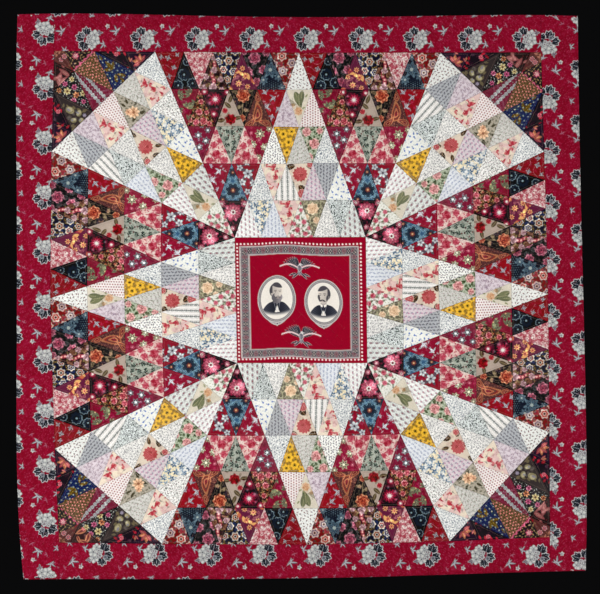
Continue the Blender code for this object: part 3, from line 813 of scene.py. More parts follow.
def D03(u, v, s):                      # pink mottled lacework
    c = plain(u, (222, 150, 154))
    n = fbm(u, v, 7, s, 3)
    c = over(c, S(0.50, 0.60, n), (196, 84, 98))
    c = over(c, S(0.46, 0.36, n), (238, 202, 198))
    w = np.abs((fbm(u, v, 15, s + 4, 2) * 5) % 1.0 - 0.5)
    c = over(c, (1 - S(0.05, 0.14, w)) * 0.8, (186, 48, 72))
    lu, lv, ix, iy = cells(u, v, 17, 20, 0.5, 0.2, s)
    c = over(c, petals(lu, lv, 0, 0, 6, 6, 0.3, 0.4) * 0.8, (240, 206, 200))
    return over(c, dot(lu, lv, 0, 0, 2), (180, 44, 66))


def D04(u, v, s):                      # orange and yellow on brown-red
    c = plain(u, (110, 44, 34))
    for i in range(26):
        x = -46 + 92 * ((i * 0.618) % 1.0)
        y = -46 + 92 * ((i * 0.3819 + 0.13) % 1.0)
        t = i * 2.4
        r = 8 + 4 * ((i * 0.77) % 1.0)
        c = over(c, leaf(u, v, x, y, r * 1.9, r * 0.8, t),
                 ((206, 118, 40), (232, 178, 72), (158, 52, 36))[i % 3])
    for x, y, r in ((-10, -22, 11), (12, 2, 11), (2, 26, 9), (18, -32, 9),
                    (-26, 4, 9), (-6, -48, 9)):
        c = daisy(c, u, v, x, y, r, 7, (238, 190, 84), (196, 96, 40),
                  (120, 30, 26), 0.3 * x)
    return c


def D05(u, v, s):                      # royal blue, ringed flowers
    c = plain(u, (36, 60, 110))
    lu, lv, ix, iy = cells(u, v, 12, 13, 0.5, 0.4, s)
    lu, lv = turn(lu, lv, hsh(ix, iy, s) * 6.0)
    c = over(c, leaf(lu, lv, -4, 0, 10, 4.5, 0.2), (150, 132, 78))
    c = over(c, dot(lu, lv, 2, 4, 1.5), (210, 186, 110))
    W, R = (232, 226, 212), (186, 44, 54)
    for x, y, r, q in ((-16, 36, 13, 0), (16, 40, 13, 1), (0, 12, 14, 2),
                       (-30, 8, 12, 1), (30, 10, 12, 0), (-14, -14, 12, 0),
                       (14, -18, 12, 1), (-2, -42, 12, 2), (40, 40, 12, 2),
                       (-42, 40, 11, 0), (0, 66, 11, 1), (0, -70, 11, 0)):
        c = ringed(c, u, v, x, y, r, W, (R, (52, 84, 150), (206, 120, 52))[q],
                   (60, 60, 90), 6, 0.3 * x)
    return c


def D06(u, v, s):                      # dark brown, pink flower columns
    c = plain(u, (66, 34, 32))
    n = fbm(u, v, 9, s + 2, 2)
    c = over(c, S(0.55, 0.66, n) * 0.8, (150, 110, 76))
    w = np.abs(u + 4 * np.sin(v * 0.12))
    c = over(c, (1 - S(5, 6.5, w)), (168, 60, 72))
    lv = (v % 11.0) - 5.5
    c = over(c, petals(u + 4 * np.sin(v * 0.12), lv, 0, 0, 4.0, 5),
             (226, 170, 150))
    for x, y, r in ((2, -30, 13), (2, 24, 11), (-22, 2, 10), (24, -4, 10),
                    (-28, -34, 11), (30, -38, 10), (0, 62, 9)):
        c = rose(c, u, v, x, y, r, (120, 84, 84), (190, 150, 148),
                 (226, 204, 200), s + x)
        for t in (0.5, 2.5, 4.4):
            c = over(c, leaf(u, v, x + r * 0.7 * math.cos(t),
                             y + r * 0.7 * math.sin(t), r, r * 0.45, t),
                     (132, 116, 70))
    return c


def D07(u, v, s):                      # black with crimson roses
    c = plain(u, (22, 14, 24))
    lu, lv, ix, iy = cells(u, v, 13, 14, 0.5, 0.4, s)
    lu, lv = turn(lu, lv, hsh(ix, iy, s) * 6.0)
    c = over(c, leaf(lu, lv, -4, 0, 11, 5, 0.2), (96, 34, 52))
    for x, y, r in ((-4, 18, 17), (20, -14, 13), (-22, -20, 14),
                    (2, -48, 13), (28, 34, 12), (-34, 36, 11), (2, 58, 10)):
        c = rose(c, u, v, x, y, r, (110, 12, 44), (188, 40, 78),
                 (226, 120, 146), s + x)
    return c


def D09(u, v, s):                      # red-brown, orange ringed flowers
    c = plain(u, (140, 30, 38))
    lu, lv, ix, iy = cells(u, v, 12, 13, 0.5, 0.4, s)
    lu, lv = turn(lu, lv, hsh(ix, iy, s) * 6.0)
    c = over(c, leaf(lu, lv, -4, 0, 10, 4.5, 0.2), (104, 96, 62))
    c = over(c, dot(lu, lv, 2, 3, 1.6), (60, 84, 120))
    for x, y, r, q in ((-12, 22, 15, 0), (18, 4, 15, 1), (-8, -20, 15, 1),
                       (20, -36, 13, 0), (-34, -2, 13, 1), (36, 34, 13, 1),
                       (6, 52, 13, 1), (-36, 40, 12, 0), (0, -62, 13, 0)):
        c = ringed(c, u, v, x, y, r, (234, 222, 204),
                   ((204, 70, 44), (120, 134, 150))[q], (84, 40, 34), 6, x)
    return c


def D10(u, v, s):                      # red with olive leaf sprays
    c = crimson(u, v, s, (160, 14, 40))
    for x, y, t in ((-24, 20, 0.3), (12, 26, 2.6), (4, -18, 1.2),
                    (-28, -24, 5.2), (30, -6, 3.6), (0, 58, 4.4),
                    (10, -58, 0.8)):
        for i in range(5):
            a = t + (i - 2) * 0.62
            m = leaf(u, v, x, y, 20, 8.5, a)
            c = over(c, m, (132, 112, 70))
            c = over(c, leaf(u, v, x, y, 17, 4.4, a), (92, 70, 46))
            c = over(c, seg(u, v, x, y, x + 15 * math.cos(a),
                            y + 15 * math.sin(a), 0.9), (186, 166, 112))
        c = over(c, dot(u, v, x, y, 2.6), (206, 150, 90))
    return c


def D11(u, v, s):                      # brown with red and pink flowers
    c = plain(u, (104, 58, 42))
    lu, lv, ix, iy = cells(u, v, 15, 16, 0.5, 0.3, s)
    lu, lv = turn(lu, lv, hsh(ix, iy, s) * 6.0)
    for t in (0.3, 1.5, 2.9):
        c = over(c, leaf(lu, lv, 0, 0, 9, 4.5, t), (150, 112, 72))
    c = over(c, dot(lu, lv, 0, -2, 2.2), (196, 92, 60))
    for x, y, r in ((12, -26, 13), (-12, -30, 11), (-2, 4, 11),
                    (30, -34, 9), (4, 36, 9), (-32, -22, 9), (0, 64, 8),
                    (22, 2, 8)):
        c = rose(c, u, v, x, y, r, (140, 22, 44), (206, 82, 92),
                 (234, 172, 160), s + x)
    return c


def D12(u, v, s):                      # black with one crimson mum
    c = plain(u, (24, 12, 22))
    n = fbm(u, v, 10, s + 2, 2)
    c = over(c, S(0.56, 0.66, n) * 0.8, (110, 22, 50))
    for x, y, R in ((0, 8, 26), (-4, -48, 16), (-42, 36, 16), (44, 36, 15)):
        for r, m_, l_ in ((R, (150, 16, 54), 12), (R * 0.76,
                          (196, 44, 84), 11), (R * 0.5, (232, 160, 174), 9)):
            c = over(c, petals(u, v, x, y, r, l_, r * 0.1, 0.34), m_)
        for i in range(12):
            t = i * 2 * PI / 12
            c = over(c, seg(u, v, x + R * .3 * math.cos(t),
                            y + R * .3 * math.sin(t),
                            x + R * .85 * math.cos(t),
                            y + R * .85 * math.sin(t), 1.0) * 0.7,
                     (90, 4, 34))
        c = over(c, petals(u, v, x, y, R * 0.26, 7, 0, 0.2), (246, 236, 226))
    return c


def D13(u, v, s):                      # sage-cream with a red rose
    c = plain(u, (188, 182, 160))
    for x, y, L, W, t in ((-4, 34, 30, 12, 1.2), (2, 18, 28, 12, 2.4),
                          (-16, -18, 26, 13, 3.3), (12, -14, 26, 12, 0.2),
                          (-6, -40, 24, 11, -2.4), (20, -38, 20, 10, -0.4),
                          (-2, 60, 20, 9, 1.8)):
        m = leaf(u, v, x, y, L, W, t)
        c = over(c, m, (112, 108, 76))
        p, q = rt(u - x, v - y, t)
        c = over(c, m * (1 - S(0.4, 1.3, np.abs(q))), (160, 156, 116))
    c = rose(c, u, v, 2, -16, 17, (110, 8, 30), (182, 30, 50),
             (232, 120, 120), s)
    return rose(c, u, v, -16, 10, 9, (150, 30, 44), (206, 80, 84),
                (236, 160, 150), s + 1)


def D14(u, v, s):                      # black-brown with an orange flower
    c = plain(u, (38, 28, 26))
    lu, lv, ix, iy = cells(u, v, 17, 18, 0.5, 0.3, s)
    lu, lv = turn(lu, lv, hsh(ix, iy, s) * 6.0)
    for t in (0.2, 2.2, 4.3):
        c = over(c, leaf(lu, lv, 0, 0, 11, 4.6, t), (104, 82, 50))
    c = over(c, seg(u, v, 0, 10, -6, -70, 2.4), (142, 112, 64))
    for x, y, L, W, t in ((-2, -12, 26, 11, 3.6), (-3, -28, 24, 10, 0.0),
                          (12, 26, 22, 10, 0.4), (-14, 24, 22, 10, 2.9)):
        c = over(c, leaf(u, v, x, y, L, W, t), (134, 106, 62))
    c = rose(c, u, v, 0, 16, 21, (150, 44, 22), (208, 96, 44),
             (238, 178, 110), s, 8)
    return rose(c, u, v, -4, -50, 11, (150, 44, 22), (208, 96, 44),
                (238, 178, 110), s + 2)


def D15(u, v, s):                      # brown-orange paisley
    c = plain(u, (112, 66, 44))
    lu, lv, ix, iy = cells(u, v, 9, 10, 0.5, 0.3, s)
    c = over(c, dot(lu, lv, 0, 0, 1.9), (160, 104, 64))
    for x, y, k, t in ((0, -4, 46, 1.35), (-24, -30, 30, 0.6),
                       (26, -28, 30, 2.6), (2, 48, 28, 1.9),
                       (0, -52, 26, 0.2)):
        c = paisley(c, u, v, x, y, k, t, (196, 130, 74), (160, 62, 38),
                    (202, 146, 92))
        c = paisley(c, u, v, x, y, k * 0.62, t, (120, 84, 56),
                    (206, 128, 74), (128, 36, 34))
    return c


def birds_red(tint, n_b, sprays):
    def f(u, v, s):
        c = crimson(u, v, s)
        k = 0
        for x, y, t in ((6, 18, 0.7), (-22, -18, 3.9), (24, -22, 2.4),
                        (-28, 36, 5.4), (2, -52, 1.4), (4, 60, 2.9)):
            k += 1
            if k <= n_b:
                c = swallow(c, u, v, x, y, 32, t, tint, (226, 224, 222))
            else:
                for i in range(4):
                    c = over(c, leaf(u, v, x, y, 11, 4.5, t + i * 0.9),
                             tint)
        for i in range(sprays):
            x = -34 + 68 * ((i * 0.618 + 0.2) % 1.0)
            y = -44 + 88 * ((i * 0.3819 + 0.4) % 1.0)
            for a in (0.2, 1.4, 2.7):
                c = over(c, leaf(u, v, x, y, 7, 3.2, a + i), (190, 150, 152))
        return c
    return f


D16 = birds_red((164, 164, 170), 2, 7)
D21 = birds_red((150, 152, 158), 6, 5)


def D17(u, v, s):                      # red with grey and black flowers
    c = crimson(u, v, s)
    for x, y, r in ((-12, 16, 15), (16, -6, 15), (-10, -30, 14),
                    (24, 34, 12), (2, 54, 12), (28, -42, 12)):
        for i in range(6):
            t = i * PI / 3 + x
            c = over(c, leaf(u, v, x, y, r * 1.1, r * 0.55, t),
                     (120, 116, 124))
            c = over(c, leaf(u, v, x, y, r * 0.85, r * 0.28, t),
                     (40, 36, 46))
        c = over(c, petals(u, v, x, y, r * 0.42, 5), (214, 210, 212))
    return c


def D18(u, v, s):                      # pink toile on cream
    c = plain(u, (232, 190, 182))
    n = fbm(u, v, 16, s, 2)
    c = over(c, S(0.56, 0.42, n), (238, 214, 204))
    for x, y, r in ((0, -12, 16), (-22, -30, 13), (22, -30, 14),
                    (-8, 18, 12), (10, 30, 10), (0, 56, 9), (-2, -54, 12),
                    (30, 0, 10), (-30, 2, 10)):
        c = rose(c, u, v, x, y, r, (172, 36, 64), (208, 92, 108),
                 (240, 196, 192), s + x, 6)
    lu, lv, ix, iy = cells(u, v, 12, 13, 0.5, 0.5, s)
    lu, lv = turn(lu, lv, hsh(ix, iy, s) * 6.0)
    c = over(c, leaf(lu, lv, -4, 0, 9, 3.6, 0.2) * 0.85, (188, 58, 80))
    return c


def D19(u, v, s):                      # sage green with dark sprigs
    c = plain(u, (148, 158, 140))
    n = fbm(u, v, 20.0, s + 4, 2)
    c = over(c, S(0.45, 0.6, n) * 0.5, (176, 182, 160))
    lu, lv, ix, iy = cells(u, v, 25, 29, 0.5, 0.25, s)
    lu, lv = turn(lu, lv, hsh(ix, iy, s + 1) * 6.28)
    dk, md = (58, 84, 76), (96, 122, 104)
    c = over(c, seg(lu, lv, -9, 0, 8, 2, 1.1), dk)
    for x, y, t, L in ((-6, 0, 0.9, 11), (-2, 1, -0.8, 12), (2, 1, 0.9, 11),
                       (6, 2, -0.5, 10), (8, 2, 0.6, 9)):
        m = leaf(lu, lv, x, y, L, L * 0.42, t)
        c = over(c, m, dk if t > 0 else md)
    c = over(c, petals(lu, lv, -9, -3, 4.2, 5, 0.2), (112, 66, 66))
    c = over(c, dot(lu, lv, -9, -3, 1.3), (190, 150, 130))
    return c


def D20(u, v, s):                      # red with tan flowers
    c = crimson(u, v, s)
    for x, y, r in ((4, 14, 17), (-18, -20, 14), (20, -28, 14),
                    (-4, 48, 12), (34, 30, 12), (2, -62, 12)):
        for i in range(7):
            t = i * 2 * PI / 7 + x
            c = over(c, leaf(u, v, x, y, r, r * 0.46, t), (166, 128, 92))
            c = over(c, leaf(u, v, x, y, r * 0.8, r * 0.2, t),
                     (112, 52, 44))
        c = over(c, dot(u, v, x, y, r * 0.24), (206, 176, 130))
    return c


def D22(u, v, s):                      # blue, navy flowers in echo lines
    c = plain(u, (46, 84, 122))
    n = fbm(u, v, 9.0, s + 2, 2)
    c = over(c, 1 - S(0.02, 0.07, np.abs(n - 0.5)), (116, 156, 184))
    navy, edge, mid = (15, 24, 44), (150, 190, 208), (34, 60, 96)
    for x, y, r, ph in ((2, -6, 30, 0.25), (-34, 36, 20, 0.8),
                        (34, 34, 19, 0.4), (-36, -42, 21, 0.1),
                        (38, -44, 18, 0.9), (0, 62, 20, 0.5)):
        c = over(c, petals(u, v, x, y, r + 6.5, 7, ph, 0.22), edge)
        c = over(c, petals(u, v, x, y, r + 4.6, 7, ph, 0.22), mid)
        c = over(c, petals(u, v, x, y, r + 1.6, 7, ph, 0.26), edge)
        c = over(c, petals(u, v, x, y, r, 7, ph, 0.28), navy)
        th = np.arctan2(v - y, u - x)
        d = np.hypot(u - x, v - y)
        vein = petals(u, v, x, y, r, 7, ph, 0.28) * (
            0.5 + 0.5 * np.cos(21 * (th - ph))) ** 3 * S(0.2, 0.9, d / r)
        c = over(c, vein * 0.7, (84, 122, 156))
        c = over(c, petals(u, v, x, y, r * 0.34, 6, ph, 0.2), (112, 52, 52))
        c = over(c, dot(u, v, x, y, r * 0.13), (206, 160, 120))
    return c


def D23(u, v, s):                      # red with grey-white flowers
    c = crimson(u, v, s)
    for x, y, r, n in ((6, 10, 19, 6), (-16, -22, 14, 5), (26, -26, 14, 6),
                       (-24, 34, 12, 5), (4, 52, 11, 5), (2, -58, 12, 5)):
        for t in (0.6, 2.3, 3.9, 5.4):
            c = over(c, leaf(u, v, x + r * .6 * math.cos(t), y + r * .6
                             * math.sin(t), r, r * 0.5, t), (92, 92, 100))
        c = daisy(c, u, v, x, y, r, n, (232, 230, 226), (150, 152, 158),
                  (60, 56, 66), x, 0.3)
    return c


def D24(u, v, s):                      # big crimson-pink daisy on black
    c = plain(u, (26, 16, 28))
    n = fbm(u, v, 12, s, 2)
    c = over(c, S(0.55, 0.62, n) * 0.8, (150, 20, 50))
    for x, y, R in ((0, 4, 36), (-44, 34, 16), (42, 36, 16), (0, -58, 12)):
        c = over(c, petals(u, v, x, y, R, 9, 0.2, 0.30), (168, 26, 62))
        c = over(c, petals(u, v, x, y, R * 0.84, 9, 0.55, 0.36),
                 (206, 74, 100))
        for i in range(18):
            t = i * PI / 9 + 0.2
            c = over(c, seg(u, v, x + R * .28 * math.cos(t),
                            y + R * .28 * math.sin(t),
                            x + R * .78 * math.cos(t),
                            y + R * .78 * math.sin(t), 1.1) * 0.75,
                     (132, 10, 44) if i % 2 else (238, 170, 178))
        c = over(c, petals(u, v, x, y, R * 0.3, 8, 0.1, 0.3),
                 (244, 206, 200))
        c = over(c, dot(u, v, x, y, R * 0.13), (150, 24, 54))
    return c


# ---- corner cottons --------------------------------------------------------------
def C01(u, v, s):                      # orange leaf sprays on dark brown
    c = plain(u, (70, 36, 30))
    for x, y, R in ((0, -6, 26), (-30, 20, 16), (30, 22, 16), (-34, -34, 16),
                    (32, -36, 15)):
        for i in range(5):
            t = PI / 2 + (i - 2) * 0.7
            c = over(c, leaf(u, v, x, y - R * 0.3, R * 1.2, R * 0.56, t),
                     (220, 124, 62) if i % 2 else (206, 84, 66))
            c = over(c, seg(u, v, x, y - R * .3, x + R * .9 * math.cos(t),
                            y - R * .3 + R * .9 * math.sin(t), 1.1),
                     (240, 186, 110))
    return c


def C02(u, v, s):                      # black and crimson leaves
    c = plain(u, (24, 12, 30))
    for i in range(22):
        x = -46 + 92 * ((i * 0.618 + 0.1) % 1.0)
        y = -60 + 120 * ((i * 0.3819 + 0.3) % 1.0)
        c = over(c, leaf(u, v, x, y, 20, 9, i * 2.1),
                 ((150, 16, 40), (70, 14, 56), (190, 36, 60))[i % 3])
    c = rose(c, u, v, 8, 12, 9, (160, 40, 60), (220, 120, 130),
             (240, 190, 190), s)
    return c


def C03(u, v, s):                      # royal blue, gold-brown leaves
    c = plain(u, (20, 62, 142))
    for x, y, t, L in ((0, 10, 1.5, 40), (0, 8, 0.7, 34), (0, 8, 2.4, 34),
                       (-20, -40, 1.0, 34), (22, -44, 2.2, 34),
                       (2, -62, 1.6, 30), (-4, 60, 1.4, 24)):
        m = leaf(u, v, x, y, L, L * 0.42, t)
        c = over(c, m, (134, 108, 62))
        c = over(c, seg(u, v, x, y, x + L * .9 * math.cos(t),
                        y + L * .9 * math.sin(t), 1.2), (196, 168, 104))
    lu, lv, ix, iy = cells(u, v, 19, 17, 0.5, 0.3, s)
    c = over(c, petals(lu, lv, 0, 0, 3.6, 5), (206, 216, 226))
    return over(c, dot(lu, lv, 5, 5, 1.4), (92, 150, 200))


def C04(u, v, s):                      # tan with small pink sprigs
    c = plain(u, (138, 106, 68))
    lu, lv, ix, iy = cells(u, v, 12, 13, 0.5, 0.2, s)
    lu, lv = turn(lu, lv, (hsh(ix, iy, s) - 0.5) * 2.0)
    return sprig(c, lu, lv, 12, (92, 92, 48), (222, 128, 112), 1.3)


def C05(u, v, s):                      # red with grey beaded columns
    c = crimson(u, v, s)
    lv = (v % 15.0) - 7.5
    for x in (-14, 14):
        c = over(c, petals(u, lv, x, 0, 8, 6, 0.2, 0.3), (200, 196, 198))
        c = over(c, petals(u, lv, x, 0, 4.6, 6, 0.2, 0.3), (96, 96, 104))
        c = over(c, dot(u, lv, x, 0, 1.8), (226, 222, 220))
    return over(c, dot(u, lv, 0, 4, 2), (196, 150, 150))


def C06(u, v, s):                      # black, yellow and pink flowers
    c = plain(u, (26, 24, 30))
    lu, lv, ix, iy = cells(u, v, 11, 12, 0.5, 0.4, s)
    lu, lv = turn(lu, lv, hsh(ix, iy, s) * 6.0)
    c = over(c, leaf(lu, lv, -4, 0, 9, 4.2, 0.2), (112, 116, 96))
    c = over(c, dot(lu, lv, 3, 3, 1.5), (226, 220, 200))
    for x, y, r, q in ((-14, 20, 15, 0), (16, 12, 12, 1), (0, -14, 13, 2),
                       (-22, -22, 11, 1), (22, -28, 12, 0), (0, 46, 11, 1),
                       (30, 40, 11, 0), (-34, 44, 11, 2), (2, -52, 10, 1)):
        cols = (((240, 214, 150), (196, 150, 84)), ((232, 128, 148),
                (190, 60, 92)), ((222, 150, 92), (170, 84, 52)))[q]
        c = daisy(c, u, v, x, y, r, 6, cols[0], cols[1], (90, 40, 40), x,
                  0.35)
    return c


def C07(u, v, s):                      # dark olive with shaded fruits
    c = plain(u, (60, 50, 42))
    for i in range(16):
        x = -44 + 88 * ((i * 0.618) % 1.0)
        y = -60 + 110 * ((i * 0.3819 + 0.2) % 1.0)
        c = over(c, leaf(u, v, x, y, 17, 8, i * 1.9), (120, 108, 72))
    for x, y, a, b, t in ((-4, 12, 13, 17, 0.3), (14, -20, 13, 10, 0.5),
                          (-20, -26, 12, 9, 2.4), (2, -46, 10, 9, 0.0)):
        c = over(c, oval(u, v, x, y, a, b, t), (150, 140, 96))
        c = over(c, oval(u, v, x + 2, y + 2, a * .62, b * .62, t),
                 (206, 194, 148))
        c = over(c, oval(u, v, x - 3, y + 4, a * .3, b * .5, t),
                 (120, 150, 156))
    return over(c, petals(u, v, 24, -40, 8, 6, 0.2), (116, 160, 172))


def C08(u, v, s):                      # pink ribbon edge over dark leaves
    c = plain(u, (52, 26, 28))
    lu, lv, ix, iy = cells(u, v, 13, 13, 0.5, 0.3, s)
    lu, lv = turn(lu, lv, hsh(ix, iy, s) * 6.0)
    c = over(c, leaf(lu, lv, -4, 0, 11, 5, 0.2), (170, 132, 84))
    c = over(c, petals(u, v, 0, 12, 15, 7), (188, 84, 92))
    c = over(c, petals(u, v, 0, 12, 9, 6), (226, 160, 150))
    w = v + 26 + 3 * np.sin(u * 0.3)
    c = over(c, (1 - S(6, 8, np.abs(w))), (206, 70, 96))
    return over(c, (1 - S(0.5, 1.5, np.abs(w - 3))), (240, 150, 160))


def C09(u, v, s):                      # green, red and tan mixed sprays
    c = plain(u, (104, 92, 66))
    for i in range(18):
        x = -46 + 92 * ((i * 0.618 + 0.3) % 1.0)
        y = -50 + 100 * ((i * 0.3819 + 0.15) % 1.0)
        c = over(c, leaf(u, v, x, y, 19, 9, i * 2.3),
                 ((150, 140, 92), (176, 34, 50), (84, 96, 74),
                  (206, 176, 128))[i % 4])
    return ringed(c, u, v, 4, 4, 11, (232, 220, 200), (196, 60, 54),
                  (60, 90, 120))


def C10(u, v, s):                      # brown leaves on near black
    c = plain(u, (44, 30, 26))
    for x, y, L, t in ((-10, -24, 46, 1.9), (8, -30, 48, 1.1),
                       (-26, 10, 34, 0.4), (20, 14, 30, 2.6),
                       (0, 34, 30, 1.5)):
        m = leaf(u, v, x, y, L, L * 0.4, t)
        c = over(c, m, (164, 112, 74))
        c = over(c, leaf(u, v, x, y, L * .8, L * 0.18, t), (104, 52, 46))
    return over(c, petals(u, v, 18, -22, 9, 6), (206, 120, 110))


def C11(u, v, s):                      # dark maroon with mauve-pink leaves
    c = plain(u, (58, 22, 30))
    for x, y, L, t in ((-34, -22, 52, 0.55), (20, -30, 50, 1.75),
                       (-10, -8, 40, 2.6), (-40, -30, 60, 0.05),
                       (26, 6, 30, 1.2)):
        m = leaf(u, v, x, y, L, L * 0.36, t)
        c = over(c, m, (166, 92, 100))
        c = over(c, leaf(u, v, x, y, L * .85, L * 0.17, t), (206, 138, 136))
        c = over(c, seg(u, v, x, y, x + L * .8 * math.cos(t),
                        y + L * .8 * math.sin(t), 1.0), (112, 44, 56))
    lu, lv, ix, iy = cells(u, v, 16, 17, 0.5, 0.5, s)
    return over(c, dot(lu, lv, 0, 0, 1.8) * 0.7, (190, 60, 70))


# ---- washing and wear: each cotton's mean colour, contrast, scale, and
# how much of a second, smaller run of its own figure fills the gaps
WASH = {
    "C01": ((52, 29, 45), 0.94, 1.00, 0.50),
    "C02": ((37, 2, 23), 1.01, 1.00, 0.40),
    "C03": ((15, 41, 69), 0.89, 1.00, 0.50),
    "C04": ((108, 77, 50), 1.81, 1.00, 0.50),
    "C05": ((111, 51, 71), 0.88, 1.00, 0.40),
    "C06": ((31, 29, 36), 1.25, 1.00, 0.40),
    "C07": ((67, 59, 53), 0.85, 1.00, 0.40),
    "C08": ((58, 27, 32), 1.17, 1.00, 0.40),
    "C09": ((90, 41, 38), 0.78, 1.00, 0.40),
    "C10": ((63, 30, 29), 1.14, 1.00, 0.40),
    "C11": ((54, 19, 20), 0.90, 1.00, 0.40),
    "D01": ((125, 2, 28), 1.42, 1.00, 0.35),
    "D02": ((3, 6, 18), 1.31, 1.30, 0.40),
    "D03": ((193, 135, 139), 1.08, 1.20, 0.50),
    "D04": ((121, 48, 66), 1.10, 1.20, 0.60),
    "D05": ((41, 41, 60), 1.20, 1.35, 0.45),
    "D06": ((83, 45, 43), 1.26, 1.20, 0.40),
    "D07": ((31, 34, 37), 1.36, 1.40, 0.60),
    "D08": ((20, 32, 48), 1.01, 1.30, 0.30),
    "D09": ((127, 50, 53), 0.88, 1.35, 0.45),
    "D10": ((119, 26, 51), 1.49, 1.20, 0.60),
    "D11": ((99, 54, 35), 1.82, 1.20, 0.60),
    "D12": ((56, 16, 31), 1.03, 1.00, 0.45),
    "D13": ((159, 133, 121), 1.24, 1.25, 0.50),
    "D14": ((28, 16, 20), 1.48, 1.30, 0.60),
    "D15": ((101, 53, 47), 1.05, 1.30, 0.80),
    "D16": ((139, 25, 57), 1.20, 1.00, 0.30),
    "D17": ((113, 43, 68), 1.20, 1.00, 0.60),
    "D18": ((205, 147, 147), 0.96, 1.25, 0.50),
    "D19": ((115, 122, 112), 1.87, 1.00, 0.35),
    "D20": ((140, 40, 64), 1.86, 1.20, 0.60),
    "D21": ((141, 10, 41), 0.98, 1.00, 0.35),
    "D22": ((61, 84, 104), 0.97, 1.00, 0.15),
    "D23": ((135, 43, 69), 0.97, 1.00, 0.30),
    "D24": ((85, 46, 61), 1.25, 1.00, 0.60),
    "L01": ((209, 203, 199), 1.38, 1.20, 0.00),
    "L02": ((200, 184, 192), 2.60, 1.60, 0.00),
    "L02b": ((203, 186, 194), 1.02, 1.30, 0.00),
    "L03": ((195, 185, 162), 0.99, 1.00, 0.55),
    "L04": ((217, 187, 186), 1.67, 1.30, 0.00),
    "L05": ((178, 137, 42), 1.60, 1.00, 0.00),
    "L06": ((195, 192, 184), 1.90, 1.50, 0.00),
    "L07": ((150, 144, 122), 1.59, 1.25, 0.50),
    "L08": ((217, 209, 204), 1.70, 1.20, 0.00),
    "L09": ((196, 200, 201), 1.69, 1.15, 0.00),
    "L10": ((220, 188, 174), 0.97, 1.00, 0.25),
    "L11": ((206, 204, 199), 1.23, 1.00, 0.00),
    "L12": ((186, 146, 132), 1.20, 1.00, 0.20),
    "L13": ((152, 153, 158), 1.61, 1.50, 0.00),
    "L14": ((219, 223, 224), 0.90, 1.00, 0.00),
    "L15": ((223, 215, 214), 1.03, 1.20, 0.00),
    "L15g": ((198, 194, 191), 1.27, 1.20, 0.00),
    "L16": ((169, 178, 179), 1.26, 1.15, 0.30),
    "L17": ((209, 213, 221), 1.86, 1.70, 0.00),
    "L18": ((208, 195, 186), 0.88, 1.20, 0.45),
    "L19": ((150, 139, 112), 1.16, 1.00, 0.30),
    "L20": ((211, 209, 205), 1.96, 1.20, 0.00),
    "L21": ((161, 169, 166), 2.60, 1.40, 0.00),
    "L22": ((157, 145, 125), 1.33, 1.00, 0.40),
    "L23": ((211, 206, 201), 1.77, 1.20, 0.00),
}


def to_lin(c):
    c = np.clip(np.asarray(c, float) / 255.0, 0, 1)
    return np.where(c <= 0.04045, c / 12.92, ((c + 0.055) / 1.055) ** 2.4)


def to_disp(c):
    c = np.clip(c, 0, 1)
    return 255.0 * np.where(c <= 0.0031308, c * 12.92,
                            1.055 * c ** (1 / 2.4) - 0.055)


def washed(fn, aim, k, sc, busy, warm):
    a, b = np.meshgrid(np.arange(-60.0, 60.0, 2.3), np.arange(-60.0, 60.0,
                                                              2.3))
    m0 = fn(a.ravel(), b.ravel(), 3).mean(0)
    aim = np.array(aim, float)

    def f(u, v, s):
        d = fn(u / sc, v / sc, s) - m0
        y = d.mean(1, keepdims=True)
        d, y = d - y, y
        if busy:
            p, q = rt(u * 1.75 / sc + 31.0, v * 1.75 / sc + 17.0, 1.1)
            e = busy * (fn(p, q, s + 1) - m0)
            ye = e.mean(1, keepdims=True)
            y = y + ye
            d = d + 0.4 * (e - ye)
        c = aim + y * k + d * min(k, 1.0)
        if warm:                # no colder than its own white
            c[:, 0] = np.maximum(c[:, 0], 0.96 * np.maximum(c[:, 1],
                                                            c[:, 2]))
        return np.clip(c, 4.0, 250.0)
    return f


COOL = ("D02", "D05", "D08", "D19", "D22", "C03", "C08")
for nm_, (aim_, k_, sc_, busy_) in WASH.items():
    globals()[nm_] = washed(globals()[nm_], aim_, k_, sc_, busy_,
                            nm_[0] != "L" and nm_ not in COOL)


# ---- the border chintz ------------------------------------------------------------
PU, PV = 207.5, 130.0          # the repeat along the border, and its half drop


def lobed(c, p, q, x, y, base, L, dark, mid, rim):
    """A cluster of rounded dark leaves with pale rims."""
    spread = ((-1.15, 0.74), (1.15, 0.74), (-0.6, 0.92), (0.6, 0.92),
              (0.0, 1.0))
    for a, k in spread:
        c = over(c, leaf(p, q, x, y, L * k + 2.6, L * k * 0.60 + 4.6,
                         base + a), rim)
    for a, k in spread:
        c = over(c, leaf(p, q, x, y, L * k, L * k * 0.52, base + a), dark)
        c = over(c, leaf(p, q, x, y, L * k * 0.80, L * k * 0.20, base + a),
                 mid)
        c = over(c, seg(p, q, x, y, x + L * k * 0.85 * math.cos(base + a),
                        y + L * k * 0.85 * math.sin(base + a), 0.8), rim)
    return c


